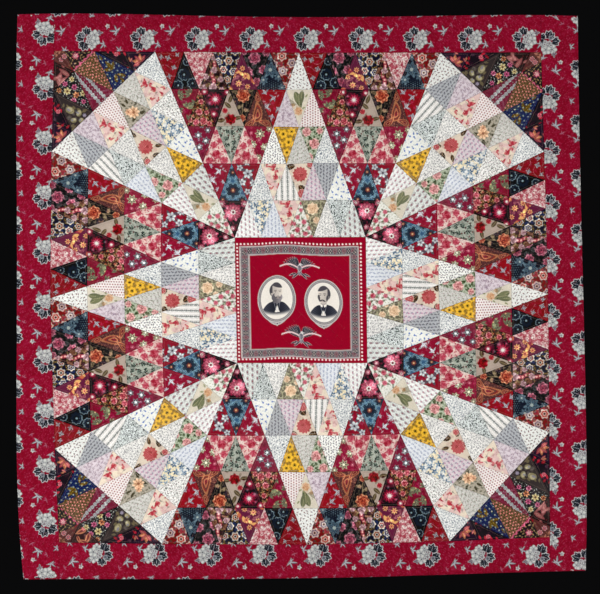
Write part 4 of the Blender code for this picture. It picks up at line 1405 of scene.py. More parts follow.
def bouquet(c, p, q):
    dk, md, rm = (14, 15, 24), (74, 78, 90), (214, 214, 216)
    c = lobed(c, p, q, 1, 17, 1.65, 27, dk, md, rm)
    c = lobed(c, p, q, -12, 2, 2.85, 30, dk, md, rm)
    c = lobed(c, p, q, -7, -16, 4.45, 31, dk, md, rm)
    c = over(c, petals(p, q, -13, 10, 10, 5, 0.3, 0.3), (158, 160, 166))
    c = over(c, petals(p, q, -13, 10, 6, 5, 0.3, 0.3), (96, 98, 108))
    for x, y, r, ph in ((20, -27, 15, 0.9), (31, 14, 19, 0.2),
                        (33, -9, 19, 0.8)):
        c = over(c, petals(p, q, x, y, r + 1.6, 5, ph, 0.2), (132, 132, 138))
        d = np.hypot(p - x, q - y)
        th = np.arctan2(q - y, p - x)
        m = petals(p, q, x, y, r, 5, ph, 0.22)
        k = 0.5 + 0.5 * np.cos(5 * (th - ph))
        col = (np.array((232.0, 229, 222)) + (np.array((168.0, 168, 170))
               - np.array((232.0, 229, 222)))
               * np.clip(0.85 * (1 - k) ** 1.5 + 0.55 * (1 - S(
                   0.1, 0.5, d / r)), 0, 1)[:, None])
        c = c + (col - c) * m[:, None]
        c = over(c, ring(p, q, x, y, r * 0.42, 1.1) * 0.7, (130, 132, 136))
        c = over(c, dot(p, q, x, y, r * 0.15), (92, 90, 94))
    # the loose heads that fill the middle
    for x, y, k_, ph in ((8, 4, 11, 0.4), (4, -12, 9, 1.1), (12, -14, 8, 0.1),
                         (16, 10, 8, 0.7)):
        c = over(c, petals(p, q, x, y, k_ + 1.4, 5, ph, 0.25), (90, 92, 100))
        c = over(c, petals(p, q, x, y, k_, 5, ph, 0.25), (206, 204, 202))
        c = over(c, petals(p, q, x, y, k_ * 0.5, 5, ph + 0.6, 0.25),
                 (150, 150, 154))
        c = over(c, dot(p, q, x, y, 1.5), (120, 30, 50))
    return c


def flutter(c, p, q, k, t):
    p, q = rt(p, q, t)
    for a, l in ((0.7, 1.0), (2.44, 1.0), (-0.75, 0.7), (-2.4, 0.7)):
        c = over(c, leaf(p, q, 0, 0, k * l, k * l * 0.62, a),
                 (176, 172, 176))
        c = over(c, leaf(p, q, 1.2 * math.cos(a), 1.2 * math.sin(a),
                         k * l * 0.7, k * l * 0.3, a), (110, 84, 98))
    return over(c, seg(p, q, 0, -k * 0.45, 0, k * 0.4, 1.7), (120, 112, 120))


def flier(c, p, q, k, t, lite=(196, 194, 198), dk=(104, 104, 116)):
    """A small bird on the wing."""
    p, q = rt(p, q, t)
    for a, l, w in ((2.15, 0.92, 0.24), (1.05, 0.80, 0.22),
                    (3.45, 0.62, 0.16), (2.95, 0.66, 0.15)):
        c = over(c, leaf(p, q, 0, 0, k * l, k * w, a), dk)
        c = over(c, leaf(p, q, 0, 0, k * l * 0.92, k * w * 0.55, a + 0.05),
                 lite)
    c = over(c, leaf(p, q, -k * 0.34, 0, k * 0.86, k * 0.26, 0.0), lite)
    c = over(c, leaf(p, q, -k * 0.20, -k * 0.05, k * 0.5, k * 0.10, 0.0), dk)
    return over(c, seg(p, q, k * 0.45, 0.0, k * 0.64, -k * 0.03, 1.1), lite)


def chintz(u, v, s):
    c = plain(u, (178, 4, 40))
    n = fbm(u, v, 60.0, 21)
    c = over(c, S(0.42, 0.66, n) * 0.35, (156, 0, 26))
    # crackle of pink flecks that the ground is sown with
    lu, lv, ix, iy = cells(u, v, 9.0, 9.6, 0.5, 0.95, 5)
    lu, lv = turn(lu, lv, hsh(ix, iy, 9) * PI)
    on = (hsh(ix, iy, 12) > 0.35) * (0.35 + 0.6 * hsh(ix, iy, 14))
    c = over(c, oval(lu, lv, 0, 0, 3.0, 1.15, 0.0) * on, (222, 76, 116))
    n = fbm(u, v, 5.0, 31, 2)
    c = over(c, S(0.60, 0.72, n) * 0.35, (216, 52, 94))
    c = over(c, S(0.38, 0.30, n) * 0.30, (140, 0, 22))

    def at(x, y, row):
        ou = x + (PU / 2 if row % 2 else 0.0)
        return (u - ou + PU / 2) % PU - PU / 2, v - y - row * PV
    g = (176, 172, 178)
    for row in (-1, 0, 1):
        if row == 0 or (np.any(v > 40) if row > 0 else np.any(v < -40)):
            p, q = at(0, 0, row)
            if np.any((np.abs(p) < 70) & (np.abs(q) < 70)):
                near = (np.abs(p) < 66) & (np.abs(q) < 66)
                if near.any():
                    c[near] = bouquet(c[near], p[near], q[near])
            for x, y, kind, k, t in ((50, 20.5, 0, 14, -0.5),
                                     (66, -20.5, 1, 26, 1.9),
                                     (80, 47, 2, 9, 0.6),
                                     (116, 27, 1, 33, 0.9),
                                     (125, -45, 1, 22, 0.1),
                                     (101, -6, 3, 12, 0.4),
                                     (144, 52, 3, 12, 2.0),
                                     (48, -50, 3, 11, 4.2)):
                p, q = at(x, y, row)
                near = (np.abs(p) < 36) & (np.abs(q) < 36)
                if not near.any():
                    continue
                cc, pp, qq = c[near], p[near], q[near]
                if kind == 0:
                    cc = flutter(cc, pp, qq, k, t)
                elif kind == 1:
                    cc = flier(cc, pp, qq, k, t)
                elif kind == 2:
                    cc = over(cc, petals(pp, qq, 0, 0, k, 5, t, 0.35),
                              (224, 218, 214))
                    cc = over(cc, petals(pp, qq, 1, -1, k * 0.5, 5, t, 0.3),
                              (150, 144, 148))
                    cc = over(cc, leaf(pp, qq, 0, -2, 13, 4, 4.4), g)
                else:
                    for a in (0.3, 1.5, 2.8):
                        cc = over(cc, leaf(pp, qq, 0, 0, k, k * 0.32,
                                           a + t), (190, 96, 120))
                c[near] = cc
    # the red has gone deeper with age, the white greyer
    w = np.clip((c[:, 0] - np.maximum(c[:, 1], c[:, 2])) / 130.0, 0, 1)
    return c * np.stack((0.87 - 0.13 * w, 0.88 + 0 * w, 0.88 - 0.02 * w), 1)



# ---- the centre kerchief -----------------------------------------------------------
def spread_bird(c, p, q):
    """A bird with open wings over a ribbon, printed in greys."""
    dk, md, lt = (26, 28, 38), (100, 100, 110), (196, 190, 190)
    for sgn in (-1, 1):
        k = 1.0 if sgn < 0 else 0.92
        for i in range(7):
            a = 0.42 + 0.16 * i
            L = (64 - 4.2 * i) * k
            x0, y0 = sgn * 5.0, -6.0 + 1.2 * i
            ang = a if sgn > 0 else PI - a
            c = over(c, leaf(p, q, x0, y0, L, 10.5, ang), lt)
            c = over(c, leaf(p, q, x0, y0, L * 0.96, 8.9, ang), dk)
            c = over(c, seg(p, q, x0, y0, x0 + L * 0.8 * math.cos(ang),
                            y0 + L * 0.8 * math.sin(ang), 0.8), md)
    # the ribbon
    for sgn in (-1, 1):
        y = -2.0 + 9.0 * np.sin((sgn * p - 6.0) / 20.0) + 0.10 * sgn * p
        m = (1 - S(2.6, 3.8, np.abs(q - y))) * ((sgn * p > 6)
                                                & (sgn * p < 76))
        c = over(c, m, (214, 168, 170))
        c = over(c, m * (1 - S(0.6, 1.6, np.abs(q - y - 0.4))),
                 (240, 232, 226))
    for a in (-0.35, 0.0, 0.35):
        c = over(c, leaf(p, q, 0, -8, 24, 8, -PI / 2 + a), lt)
        c = over(c, leaf(p, q, 0, -8, 22, 5.4, -PI / 2 + a), md)
    for x, t in ((-26, 3.5), (26, -0.4), (-14, 3.9), (14, -0.8)):
        c = over(c, leaf(p, q, x * 0.5, -22, 30, 8, t), lt)
        c = over(c, leaf(p, q, x * 0.5, -22, 28, 5, t), dk)
    c = over(c, oval(p, q, 0, -2, 9, 14, 0.0), lt)
    c = over(c, oval(p, q, 0, -3, 7, 11, 0.0), md)
    for i in range(4):
        c = over(c, ring(p, q, 0, 2 - 4.0 * i, 4.5, 0.9)
                 * (q < 1 - 4.0 * i), lt)
    c = over(c, oval(p, q, 3, 12, 5.2, 4.6, 0.3), (222, 218, 214))
    c = over(c, leaf(p, q, 6, 12.5, 8, 4, -0.35), (170, 168, 170))
    return over(c, dot(p, q, 4.2, 13.2, 0.9), (30, 30, 36))


def sitter(c, p, q, way, bearded):
    """A plain imagined sitter, shaded like an engraving.  way is the side
    the head is turned to."""
    p = p * way                      # drawn turned towards +p
    skin, shade, line = (238, 228, 214), (178, 168, 160), (76, 70, 74)
    dk, coat = (58, 55, 60), (36, 38, 48)
    hx, hy, hw, hh = 0.0, 27.0, 23.5, 32.0       # the head's oval
    # coat and shoulders
    sh = np.clip((-10.0 - q) / 34.0, 0, 1)
    wid = 15.0 + 40.0 * np.sqrt(sh)
    body = (1 - S(-1.2, 1.2, np.abs(p + 2) - wid)) * (q < -8)
    body = body * (1 - S(-62.0, -44.0, -0.006 * (p + 4) ** 2 - q - 104.0
                         ) * 0.0)
    fade = S(-66.0, -46.0, q - 0.004 * p * p)
    tex = 0.5 + 0.5 * np.sin(0.9 * q + 0.55 * np.abs(p))
    cc = (np.array(coat, float) + (np.array((118.0, 120, 132))
          - np.array(coat, float)) * (0.55 * tex * S(10, 50, np.abs(p))
                                      )[:, None])
    c = c + (cc - c) * (body * fade)[:, None]
    # neck, collar, tie
    c = over(c, (1 - S(10.5, 12.0, np.abs(p))) * ((q > -16) & (q < 8)),
             shade)
    c = over(c, leaf(p, q, -11, -8, 18, 8, -0.75), (244, 238, 228))
    c = over(c, leaf(p, q, 13, -8, 16, 8, 3.9), (244, 238, 228))
    c = over(c, (1 - S(3.5, 5.5, np.abs(p - 1) + 0.35 * (q + 36)))
             * ((q < -14) & (q > -50)), (240, 234, 224))
    if bearded:
        for t in (0.15, PI - 0.15):
            c = over(c, leaf(p, q, 1, -17, 12, 9, t), (44, 46, 58))
        c = over(c, dot(p, q, 1, -17, 2.4), (96, 96, 106))
    else:
        c = over(c, leaf(p, q, 1, -13, 22, 8, -PI / 2), (44, 46, 58))
        c = over(c, dot(p, q, 1, -14, 2.6), (96, 96, 106))
    for sx in (-1, 1):
        c = over(c, seg(p, q, sx * 12, -10, 1 + sx * 3, -46, 1.3),
                 (150, 152, 162))
    # hair behind, ear, head
    c = over(c, oval(p, q, hx - 4.0, hy + 5.0, hw - 0.5, hh - 4.0, 0.0), dk)
    head = oval(p, q, hx, hy, hw * 0.93, hh, 0.0)
    k = S(-hw, hw * 0.9, -(p - 4) * 0.9 + 2.0)
    cc = (np.array(skin, float) + (np.array(shade, float)
          - np.array(skin, float)) * (0.85 * k)[:, None])
    c = c + (cc - c) * head[:, None]
    c = over(c, oval(p, q, -19.5, hy - 1.0, 4.4, 7.0, 0.15), shade)
    c = over(c, oval(p, q, -19.0, hy - 1.0, 2.4, 4.6, 0.15), skin)
    # crown of hair, parted
    top = oval(p, q, hx - 1.0, hy + 2.0, hw + 1.0, hh + 2.0) * S(
        hy + 15.5, hy + 18.5, q - 0.010 * (p - 8) ** 2 + 0.16 * p)
    c = over(c, top, dk)
    side = oval(p, q, hx - 3.0, hy + 2.0, hw, hh) * S(
        14.0, 17.0, -p) * (q > hy - 4)
    c = over(c, side, dk)
    strands = (0.5 + 0.5 * np.sin(1.6 * p + 0.8 * q)) * 0.35
    c = over(c, mx(top, side) * strands, (140, 136, 140))
    # features at the places any drawing book gives them, for a head
    # turned a little to one side
    ex, ey = 4.0, hy - 0.5
    for sx, w in ((-9.2, 5.0), (8.6, 4.4)):
        x = ex + sx
        c = over(c, oval(p, q, x, ey, w, 2.2, 0.0), (222, 210, 196))
        c = over(c, oval(p, q, x + 0.3, ey, 1.7, 1.9, 0.0), line)
        c = over(c, seg(p, q, x - w, ey + 1.4, x + w, ey + 1.8, 1.0), line)
        c = over(c, seg(p, q, x - w, ey + 6.0, x + w + 0.6, ey + 6.6, 1.7),
                 dk)
    c = over(c, seg(p, q, ex + 0.6, ey + 2, ex + 3.0, ey - 13, 1.1) * 0.8,
             shade)
    c = over(c, seg(p, q, ex - 2.4, ey - 15, ex + 4.2, ey - 14.6, 1.3),
             line)
    c = over(c, seg(p, q, ex - 5.0, ey - 22.4, ex + 6.0, ey - 22.2, 1.4),
             (150, 110, 104))
    c = over(c, seg(p, q, ex - 3.0, ey - 25.6, ex + 4.0, ey - 25.4, 1.0)
             * 0.6, shade)
    if bearded:
        low = mx(oval(p, q, 1.0, hy - 21.0, 20.5, 18.0),
                 oval(p, q, 1.0, hy - 28.0, 17.0, 16.0))
        gap_ = oval(p, q, ex, ey - 10.0, 12.6, 11.0)
        lip = oval(p, q, ex + 0.4, ey - 22.6, 6.0, 1.6)
        m = low * (1 - gap_) * (1 - lip) * S(hy - 2.0, hy - 7.0, q)
        wav = 0.5 + 0.5 * np.sin(1.5 * p + 0.5 * np.sin(0.6 * q))
        cc = (np.array((98.0, 94, 98)) + np.array((84.0, 80, 76))
              * (wav * S(-10, 20, p))[:, None])
        c = c + (cc - c) * m[:, None]
        c = over(c, leaf(p, q, ex + 0.5, ey - 18.6, 12, 5.0, -0.25),
                 (108, 104, 106))
        c = over(c, leaf(p, q, ex + 0.5, ey - 18.6, 12, 5.0, PI + 0.25),
                 (96, 92, 96))
    else:
        for t, L in ((-0.42, 14), (PI + 0.42, 14)):
            c = over(c, leaf(p, q, ex + 0.5, ey - 17.6, L, 5.6, t), dk)
        for x, t in ((-17.5, -1.35), (19.0, -1.75)):
            m = leaf(p, q, x, hy + 2.0, 26, 9, t)
            c = over(c, m, dk)
            c = over(c, m * (0.5 + 0.5 * np.sin(1.8 * q)) * 0.4,
                     (150, 146, 148))
    return c


def kerchief(X, Z, s):
    """X and Z in millimetres from the kerchief's middle."""
    Z = Z - 6.0 * np.exp(-((X + 62.0) / 75.0) ** 2) + 2.5 * np.exp(
        -((X - 120.0) / 80.0) ** 2)
    c = plain(X, (147, 0, 34))
    n = fbm(X, Z, 50.0, 3)
    c = over(c, S(0.45, 0.65, n) * 0.3, (150, 0, 28))
    c = c * (1 + 0.05 * (vn(X, Z, 2.0, 4) - 0.5))[:, None]
    # frame of dots
    x0, x1, z0, z1 = -240.0, 228.5, -225.0, 213.5
    step = 13.6
    for along, across, lo, hi, fixed in ((X, Z, x0, x1, z1),
                                         (X, Z, x0, x1, z0),
                                         (Z, X, z0, z1, x0),
                                         (Z, X, z0, z1, x1)):
        nn = round((hi - lo) / step)
        st = (hi - lo) / nn
        k = np.clip(np.round((along - lo) / st), 0, nn)
        c = over(c, 1 - S(3.0, 4.2, np.hypot(along - lo - k * st,
                                             across - fixed)),
                 (246, 232, 228))
    # patterned band
    a0, a1, b0, b1 = -232.0, 221.0, -220.5, 206.0
    i0, i1, j0, j1 = -193.3, 184.7, -186.6, 169.8
    inside = np.minimum(np.minimum(X - a0, a1 - X), np.minimum(Z - b0,
                                                               b1 - Z))
    hole = np.minimum(np.minimum(X - i0, i1 - X), np.minimum(Z - j0,
                                                             j1 - Z))
    band = S(-0.6, 0.6, inside) * S(0.6, -0.6, hole)
    c = over(c, band, (186, 176, 172))
    W = np.clip(inside, 0, 40)
    W2 = np.clip(-hole, 0, 60)
    core = band * S(3.6, 4.8, W) * S(3.6, 4.8, W2)
    c = over(c, core, (150, 143, 143))
    vert = np.minimum(X - a0, a1 - X) < np.minimum(Z - b0, b1 - Z)
    along = np.where(vert, Z, X)
    mid = np.where(vert, np.where(X < 0, X - (a0 + i0) / 2,
                                  X - (a1 + i1) / 2),
                   np.where(Z < 0, Z - (b0 + j0) / 2, Z - (b1 + j1) / 2))
    lat = 0.5 + 0.5 * np.sin(along * 1.15) * np.sin(mid * 1.15)
    c = over(c, core * S(0.40, 0.70, lat) * 0.9, (60, 56, 66))
    cell = (along + 1000.0) % 34.0 - 8.5
    big = np.abs(cell) / 8.6 + np.abs(mid) / 12.0
    c = over(c, core * (1 - S(0.92, 1.06, big)), (132, 44, 70))
    c = over(c, core * (1 - S(0.66, 0.76, big)), (150, 140, 134))
    c = over(c, core * (1 - S(0.40, 0.52, big)), (40, 36, 46))
    c = over(c, core * (1 - S(0.16, 0.26, big)), (176, 70, 92))
    cell2 = (along + 1000.0 + 17.0) % 34.0 - 8.5
    big2 = np.hypot(cell2 / 8.0, mid / 10.5)
    c = over(c, core * (1 - S(0.9, 1.05, big2)), (36, 36, 46))
    wav = np.cos(4 * np.arctan2(mid, cell2)) * 0.22
    c = over(c, core * (1 - S(0.62 + wav, 0.72 + wav, big2)),
             (170, 160, 152))
    c = over(c, core * (1 - S(0.30, 0.42, big2)), (70, 64, 72))
    edge = np.abs(mid) - 14.2
    c = over(c, core * (1 - S(0.6, 1.3, np.abs(edge)))
             * (((along % 5.0) < 3.2) * 1.0), (206, 196, 186))
    # birds over ribbons
    for x, y in ((-4.3, 121.0), (-2.0, -138.0)):
        near = (np.abs(X - x) < 84) & (np.abs(Z - y) < 60)
        c[near] = spread_bird(c[near], X[near] - x, Z[near] - y)
    # the two oval frames
    for x, y, a, b, way, bearded in ((-93.0, 0.0, 73.0, 90.0, 1.0, True),
                                     (84.5, -7.0, 73.0, 88.0, -1.0, False)):
        p, q = X - x, Z - y
        near = (np.abs(p) < 92) & (np.abs(q) < 112)
        cc, p, q = c[near], p[near], q[near]
        lite, grey, dark = (196, 190, 186), (146, 142, 144), (46, 42, 50)
        # scrolled bracket under the frame
        for t, L in ((0.62, 52), (PI - 0.62, 52)):
            cc = over(cc, leaf(p, q, 0, -b - 9, L, 13, t), lite)
            cc = over(cc, leaf(p, q, 0, -b - 7, L * 0.85, 6, t), grey)
        cc = over(cc, leaf(p, q, 0, -b + 2, 15, 13, -PI / 2), lite)
        cc = over(cc, dot(p, q, 0, -b - 4, 2.6), dark)
        for da, col in ((0.0, lite), (4.6, dark), (5.8, grey), (10.4, dark),
                        (11.6, lite), (13.2, (240, 233, 222))):
            cc = over(cc, oval(p, q, 0, 0, a - da, b - da), col)
        e = np.hypot(p / (a - 7.9), q / (b - 7.9)) - 1.0
        bead = (1 - S(0.6, 1.4, np.abs(e) * 70.0)) * (
            (np.arctan2(q * a / b, p) * 30.0 % 2.0) < 1.1)
        cc = over(cc, bead * 0.8, (206, 198, 188))
        inner = oval(p, q, 0, 0, a - 13.4, b - 13.4)
        g = sitter(plain(p, (240, 233, 222)), p, q, way, bearded)
        halo = np.exp(-((p / 46.0) ** 2 + ((q - 20) / 56.0) ** 2))
        ground = plain(p, (240, 233, 222)) - (np.array((34.0, 34, 34))
                 * (halo * 0.35 * (0.5 + 0.5 * np.sin(q * 1.9)))[:, None])
        painted = np.abs(g - np.array((240.0, 233, 222))).sum(1) > 1.0
        g = np.where(painted[:, None], g, ground)
        cc = cc + (g - cc) * inner[:, None]
        c[near] = cc
    return c


# ------------------------------------------------------------------ materials
def tree(name):
    m = bpy.data.materials.new(name)
    m.use_nodes = True
    nt = m.node_tree
    nt.nodes.clear()
    out = nt.nodes.new("ShaderNodeOutputMaterial")
    bs = nt.nodes.new("ShaderNodeBsdfPrincipled")
    nt.links.new(bs.outputs[0], out.inputs[0])
    return m, nt, bs


def N_(nt, kind, **vals):
    n = nt.nodes.new("ShaderNode" + kind)
    for k, v in vals.items():
        if hasattr(n, k) and not k[0].isupper():
            setattr(n, k, v)
        else:
            n.inputs[k.replace("_", " ")].default_value = v
    return n


def math_(nt, op, a, b=None, c=None, clamp=False):
    n = nt.nodes.new("ShaderNodeMath")
    n.operation = op
    n.use_clamp = clamp
    for i, v in enumerate((a, b, c)):
        if v is None:
            continue
        if isinstance(v, (int, float)):
            n.inputs[i].default_value = float(v)
        else:
            nt.links.new(v, n.inputs[i])
    return n.outputs[0]


def ramp(nt, x, lo, hi, a=0.0, b=1.0):
    n = nt.nodes.new("ShaderNodeMapRange")
    n.interpolation_type = "SMOOTHSTEP"
    nt.links.new(x, n.inputs["Value"])
    n.inputs["From Min"].default_value = lo
    n.inputs["From Max"].default_value = hi
    n.inputs["To Min"].default_value = a
    n.inputs["To Max"].default_value = b
    return n.outputs[0]


def mix(nt, f, a, b, kind="MIX"):
    n = nt.nodes.new("ShaderNodeMix")
    n.data_type = "RGBA"
    n.blend_type = kind
    for sock, v in ((n.inputs[0], f), (n.inputs[6], a), (n.inputs[7], b)):
        if isinstance(v, (int, float)):
            sock.default_value = float(v)
        elif isinstance(v, tuple):
            sock.default_value = (*v, 1.0) if len(v) == 3 else v
        else:
            nt.links.new(v, sock)
    return n.outputs[2]


def weave(nt, pitch, plane="XZ"):
    """Height of a plain weave: warp over weft in turn, pitch in metres."""
    tc = nt.nodes.new("ShaderNodeTexCoord")
    sp = nt.nodes.new("ShaderNodeSeparateXYZ")
    # threads wander a little
    no = nt.nodes.new("ShaderNodeTexNoise")
    no.inputs["Scale"].default_value = 60.0
    no.inputs["Detail"].default_value = 1.0
    nt.links.new(tc.outputs["Object"], no.inputs["Vector"])
    va = nt.nodes.new("ShaderNodeVectorMath")
    va.operation = "MULTIPLY_ADD"
    nt.links.new(no.outputs["Color"], va.inputs[0])
    va.inputs[1].default_value = (0.0016,) * 3
    nt.links.new(tc.outputs["Object"], va.inputs[2])
    nt.links.new(va.outputs[0], sp.inputs[0])
    a = sp.outputs[plane[0]]
    b = sp.outputs[plane[1]]
    k = 2 * math.pi / pitch
    sa = math_(nt, "SINE", math_(nt, "MULTIPLY", a, k))
    sb = math_(nt, "SINE", math_(nt, "MULTIPLY", b, k))
    # over and under
    chk = math_(nt, "MULTIPLY", math_(nt, "SINE", math_(
        nt, "MULTIPLY", a, k / 2)), math_(nt, "SINE", math_(
            nt, "MULTIPLY", b, k / 2)))
    w = math_(nt, "ABSOLUTE", math_(nt, "ADD", math_(
        nt, "MULTIPLY", sa, 0.5), math_(nt, "MULTIPLY", sb, 0.5)))
    return math_(nt, "ADD", math_(nt, "MULTIPLY", w, 0.5),
                 math_(nt, "MULTIPLY", chk, 0.5)), tc


def cotton(name, thread, rough=0.90, sheen=0.06, fade=0.10, spec=0.10,
           base=None, marks=0.0):
    """Washed printed cotton.  Its print is in the mesh's corner colours;
    the nodes add the weave, slubs, fading, the quilting stitches, and painted shade in the weave's hollows and between
    the stitches."""
    m, nt, bs = tree(name)
    w, tc = weave(nt, 0.00072)
    if base is None:
        at = N_(nt, "Attribute", attribute_name="print",
                attribute_type="GEOMETRY")
        col = at.outputs["Color"]
    else:
        rgb = N_(nt, "RGB")
        rgb.outputs[0].default_value = (*base, 1.0)
        col = rgb.outputs[0]
    # soft fading in clouds, and slubs along both thread ways
    n1 = N_(nt, "TexNoise", Scale=5.5, Detail=3.0, Roughness=0.6)
    nt.links.new(tc.outputs["Object"], n1.inputs["Vector"])
    col = mix(nt, ramp(nt, n1.outputs["Fac"], 0.45, 0.75, 0.0, fade), col,
              (0.86, 0.80, 0.72))
    mp = N_(nt, "Mapping", Scale=(90.0, 900.0, 1600.0))
    nt.links.new(tc.outputs["Object"], mp.inputs["Vector"])
    n2 = N_(nt, "TexNoise", Scale=1.0, Detail=2.0)
    nt.links.new(mp.outputs[0], n2.inputs["Vector"])
    mp3 = N_(nt, "Mapping", Scale=(1600.0, 900.0, 90.0))
    nt.links.new(tc.outputs["Object"], mp3.inputs["Vector"])
    n3 = N_(nt, "TexNoise", Scale=1.0, Detail=2.0)
    nt.links.new(mp3.outputs[0], n3.inputs["Vector"])
    slub = math_(nt, "ADD", n2.outputs["Fac"], n3.outputs["Fac"])
    col = mix(nt, 1.0, col, mix(nt, ramp(nt, slub, 0.80, 1.25),
                                (0.95, 0.95, 0.95), (1.08, 1.08, 1.08)),
              "MULTIPLY")
    # painted shade: darker in the low places of the weave
    col = mix(nt, ramp(nt, w, -0.2, 0.75, 0.12, 0.0), col, (0.0, 0.0, 0.0))
    if marks:
        # age spots on plain cloth
        n4 = N_(nt, "TexNoise", Scale=9.0, Detail=4.0, Roughness=0.65)
        nt.links.new(tc.outputs["Object"], n4.inputs["Vector"])
        col = mix(nt, ramp(nt, n4.outputs["Fac"], 0.60, 0.72, 0.0, marks),
                  col, (0.50, 0.36, 0.20))
        sp = N_(nt, "TexNoise", Scale=260.0, Detail=1.0)
        nt.links.new(tc.outputs["Object"], sp.inputs["Vector"])
        col = mix(nt, ramp(nt, sp.outputs["Fac"], 0.70, 0.74, 0.0, 0.5),
                  col, (0.30, 0.20, 0.10))
    # running stitches: thread shows for a share of each stitch's length
    qa = N_(nt, "Attribute", attribute_name="quilting",
            attribute_type="GEOMETRY")
    qs = N_(nt, "SeparateXYZ")
    nt.links.new(qa.outputs["Vector"], qs.inputs[0])
    off = math_(nt, "ABSOLUTE", math_(nt, "SUBTRACT", qs.outputs["X"],
                                      SEAM_LINE))
    ph = math_(nt, "FRACT", math_(nt, "MULTIPLY", qs.outputs["Y"],
                                  1 / 3.4))
    run = math_(nt, "ABSOLUTE", math_(nt, "SUBTRACT", ph, 0.5))
    on = ramp(nt, run, 0.30, 0.36, 1.0, 0.0)
    thr = math_(nt, "MULTIPLY", on, ramp(nt, off, 0.24, 0.46, 1.0, 0.0))
    hole = math_(nt, "MULTIPLY", ramp(nt, run, 0.36, 0.42, 0.0, 1.0),
                 ramp(nt, off, 0.1, 0.9, 1.0, 0.0))
    # painted shade: darker in the dip between stitches, where the thread pulls the cloth in
    col = mix(nt, math_(nt, "MULTIPLY", hole, 0.5), col, (0.0, 0.0, 0.0))
    col = mix(nt, math_(nt, "MULTIPLY", thr, 0.85), col, thread)
    nt.links.new(col, bs.inputs["Base Color"])
    rg = math_(nt, "ADD", math_(nt, "MULTIPLY", n1.outputs["Fac"], 0.08),
               rough - 0.04)
    nt.links.new(rg, bs.inputs["Roughness"])
    bs.inputs["Specular IOR Level"].default_value = spec
    bs.inputs["Sheen Weight"].default_value = sheen
    bs.inputs["Sheen Roughness"].default_value = 0.45
    # heights in millimetres
    fz = N_(nt, "TexNoise", Scale=1900.0, Detail=1.0)
    nt.links.new(tc.outputs["Object"], fz.inputs["Vector"])
    crk = N_(nt, "TexNoise", Scale=130.0, Detail=3.0, Roughness=0.55)
    nt.links.new(tc.outputs["Object"], crk.inputs["Vector"])
    hgt = math_(nt, "ADD", math_(nt, "MULTIPLY", w, 0.060),
                math_(nt, "MULTIPLY", fz.outputs["Fac"], 0.040))
    hgt = math_(nt, "ADD", hgt, math_(nt, "MULTIPLY",
                                      crk.outputs["Fac"], 0.42))
    hgt = math_(nt, "ADD", hgt, math_(nt, "MULTIPLY", thr, 0.16))
    hgt = math_(nt, "ADD", hgt, math_(nt, "MULTIPLY", hole, -0.20))
    bp = N_(nt, "Bump", Strength=1.0, Distance=0.001)
    nt.links.new(hgt, bp.inputs["Height"])
    nt.links.new(bp.outputs[0], bs.inputs["Normal"])
    return m


LIGHT = cotton("light_printed_cottons", (0.80, 0.77, 0.70), fade=0.04)
DARK = cotton("dark_printed_cottons", (0.24, 0.15, 0.13), fade=0.02)
RED = cotton("turkey_red_chintz", (0.40, 0.07, 0.10), fade=0.0,
             sheen=0.0, spec=0.06)
MUSLIN = cotton("unbleached_muslin", (0.80, 0.75, 0.64), rough=0.93,
                fade=0.06, marks=0.28)
SLEEVE = cotton("sleeve_muslin", (0.80, 0.74, 0.62), rough=0.93, fade=0.10,
                base=(0.70, 0.63, 0.50), marks=0.12)


def fluff(name, base):
    m, nt, bs = tree(name)
    tc = nt.nodes.new("ShaderNodeTexCoord")
    n1 = N_(nt, "TexNoise", Scale=300.0, Detail=4.0, Roughness=0.7)
    nt.links.new(tc.outputs["Object"], n1.inputs["Vector"])
    col = mix(nt, n1.outputs["Fac"], base, tuple(b * 0.82 for b in base))
    nt.links.new(col, bs.inputs["Base Color"])
    bs.inputs["Roughness"].default_value = 0.97
    bs.inputs["Sheen Weight"].default_value = 0.5
    bp = N_(nt, "Bump", Strength=1.0, Distance=0.0012)
    nt.links.new(n1.outputs["Fac"], bp.inputs["Height"])
    nt.links.new(bp.outputs[0], bs.inputs["Normal"])
    return m


BATTING = fluff("raw_cotton_batting", (0.80, 0.75, 0.64))


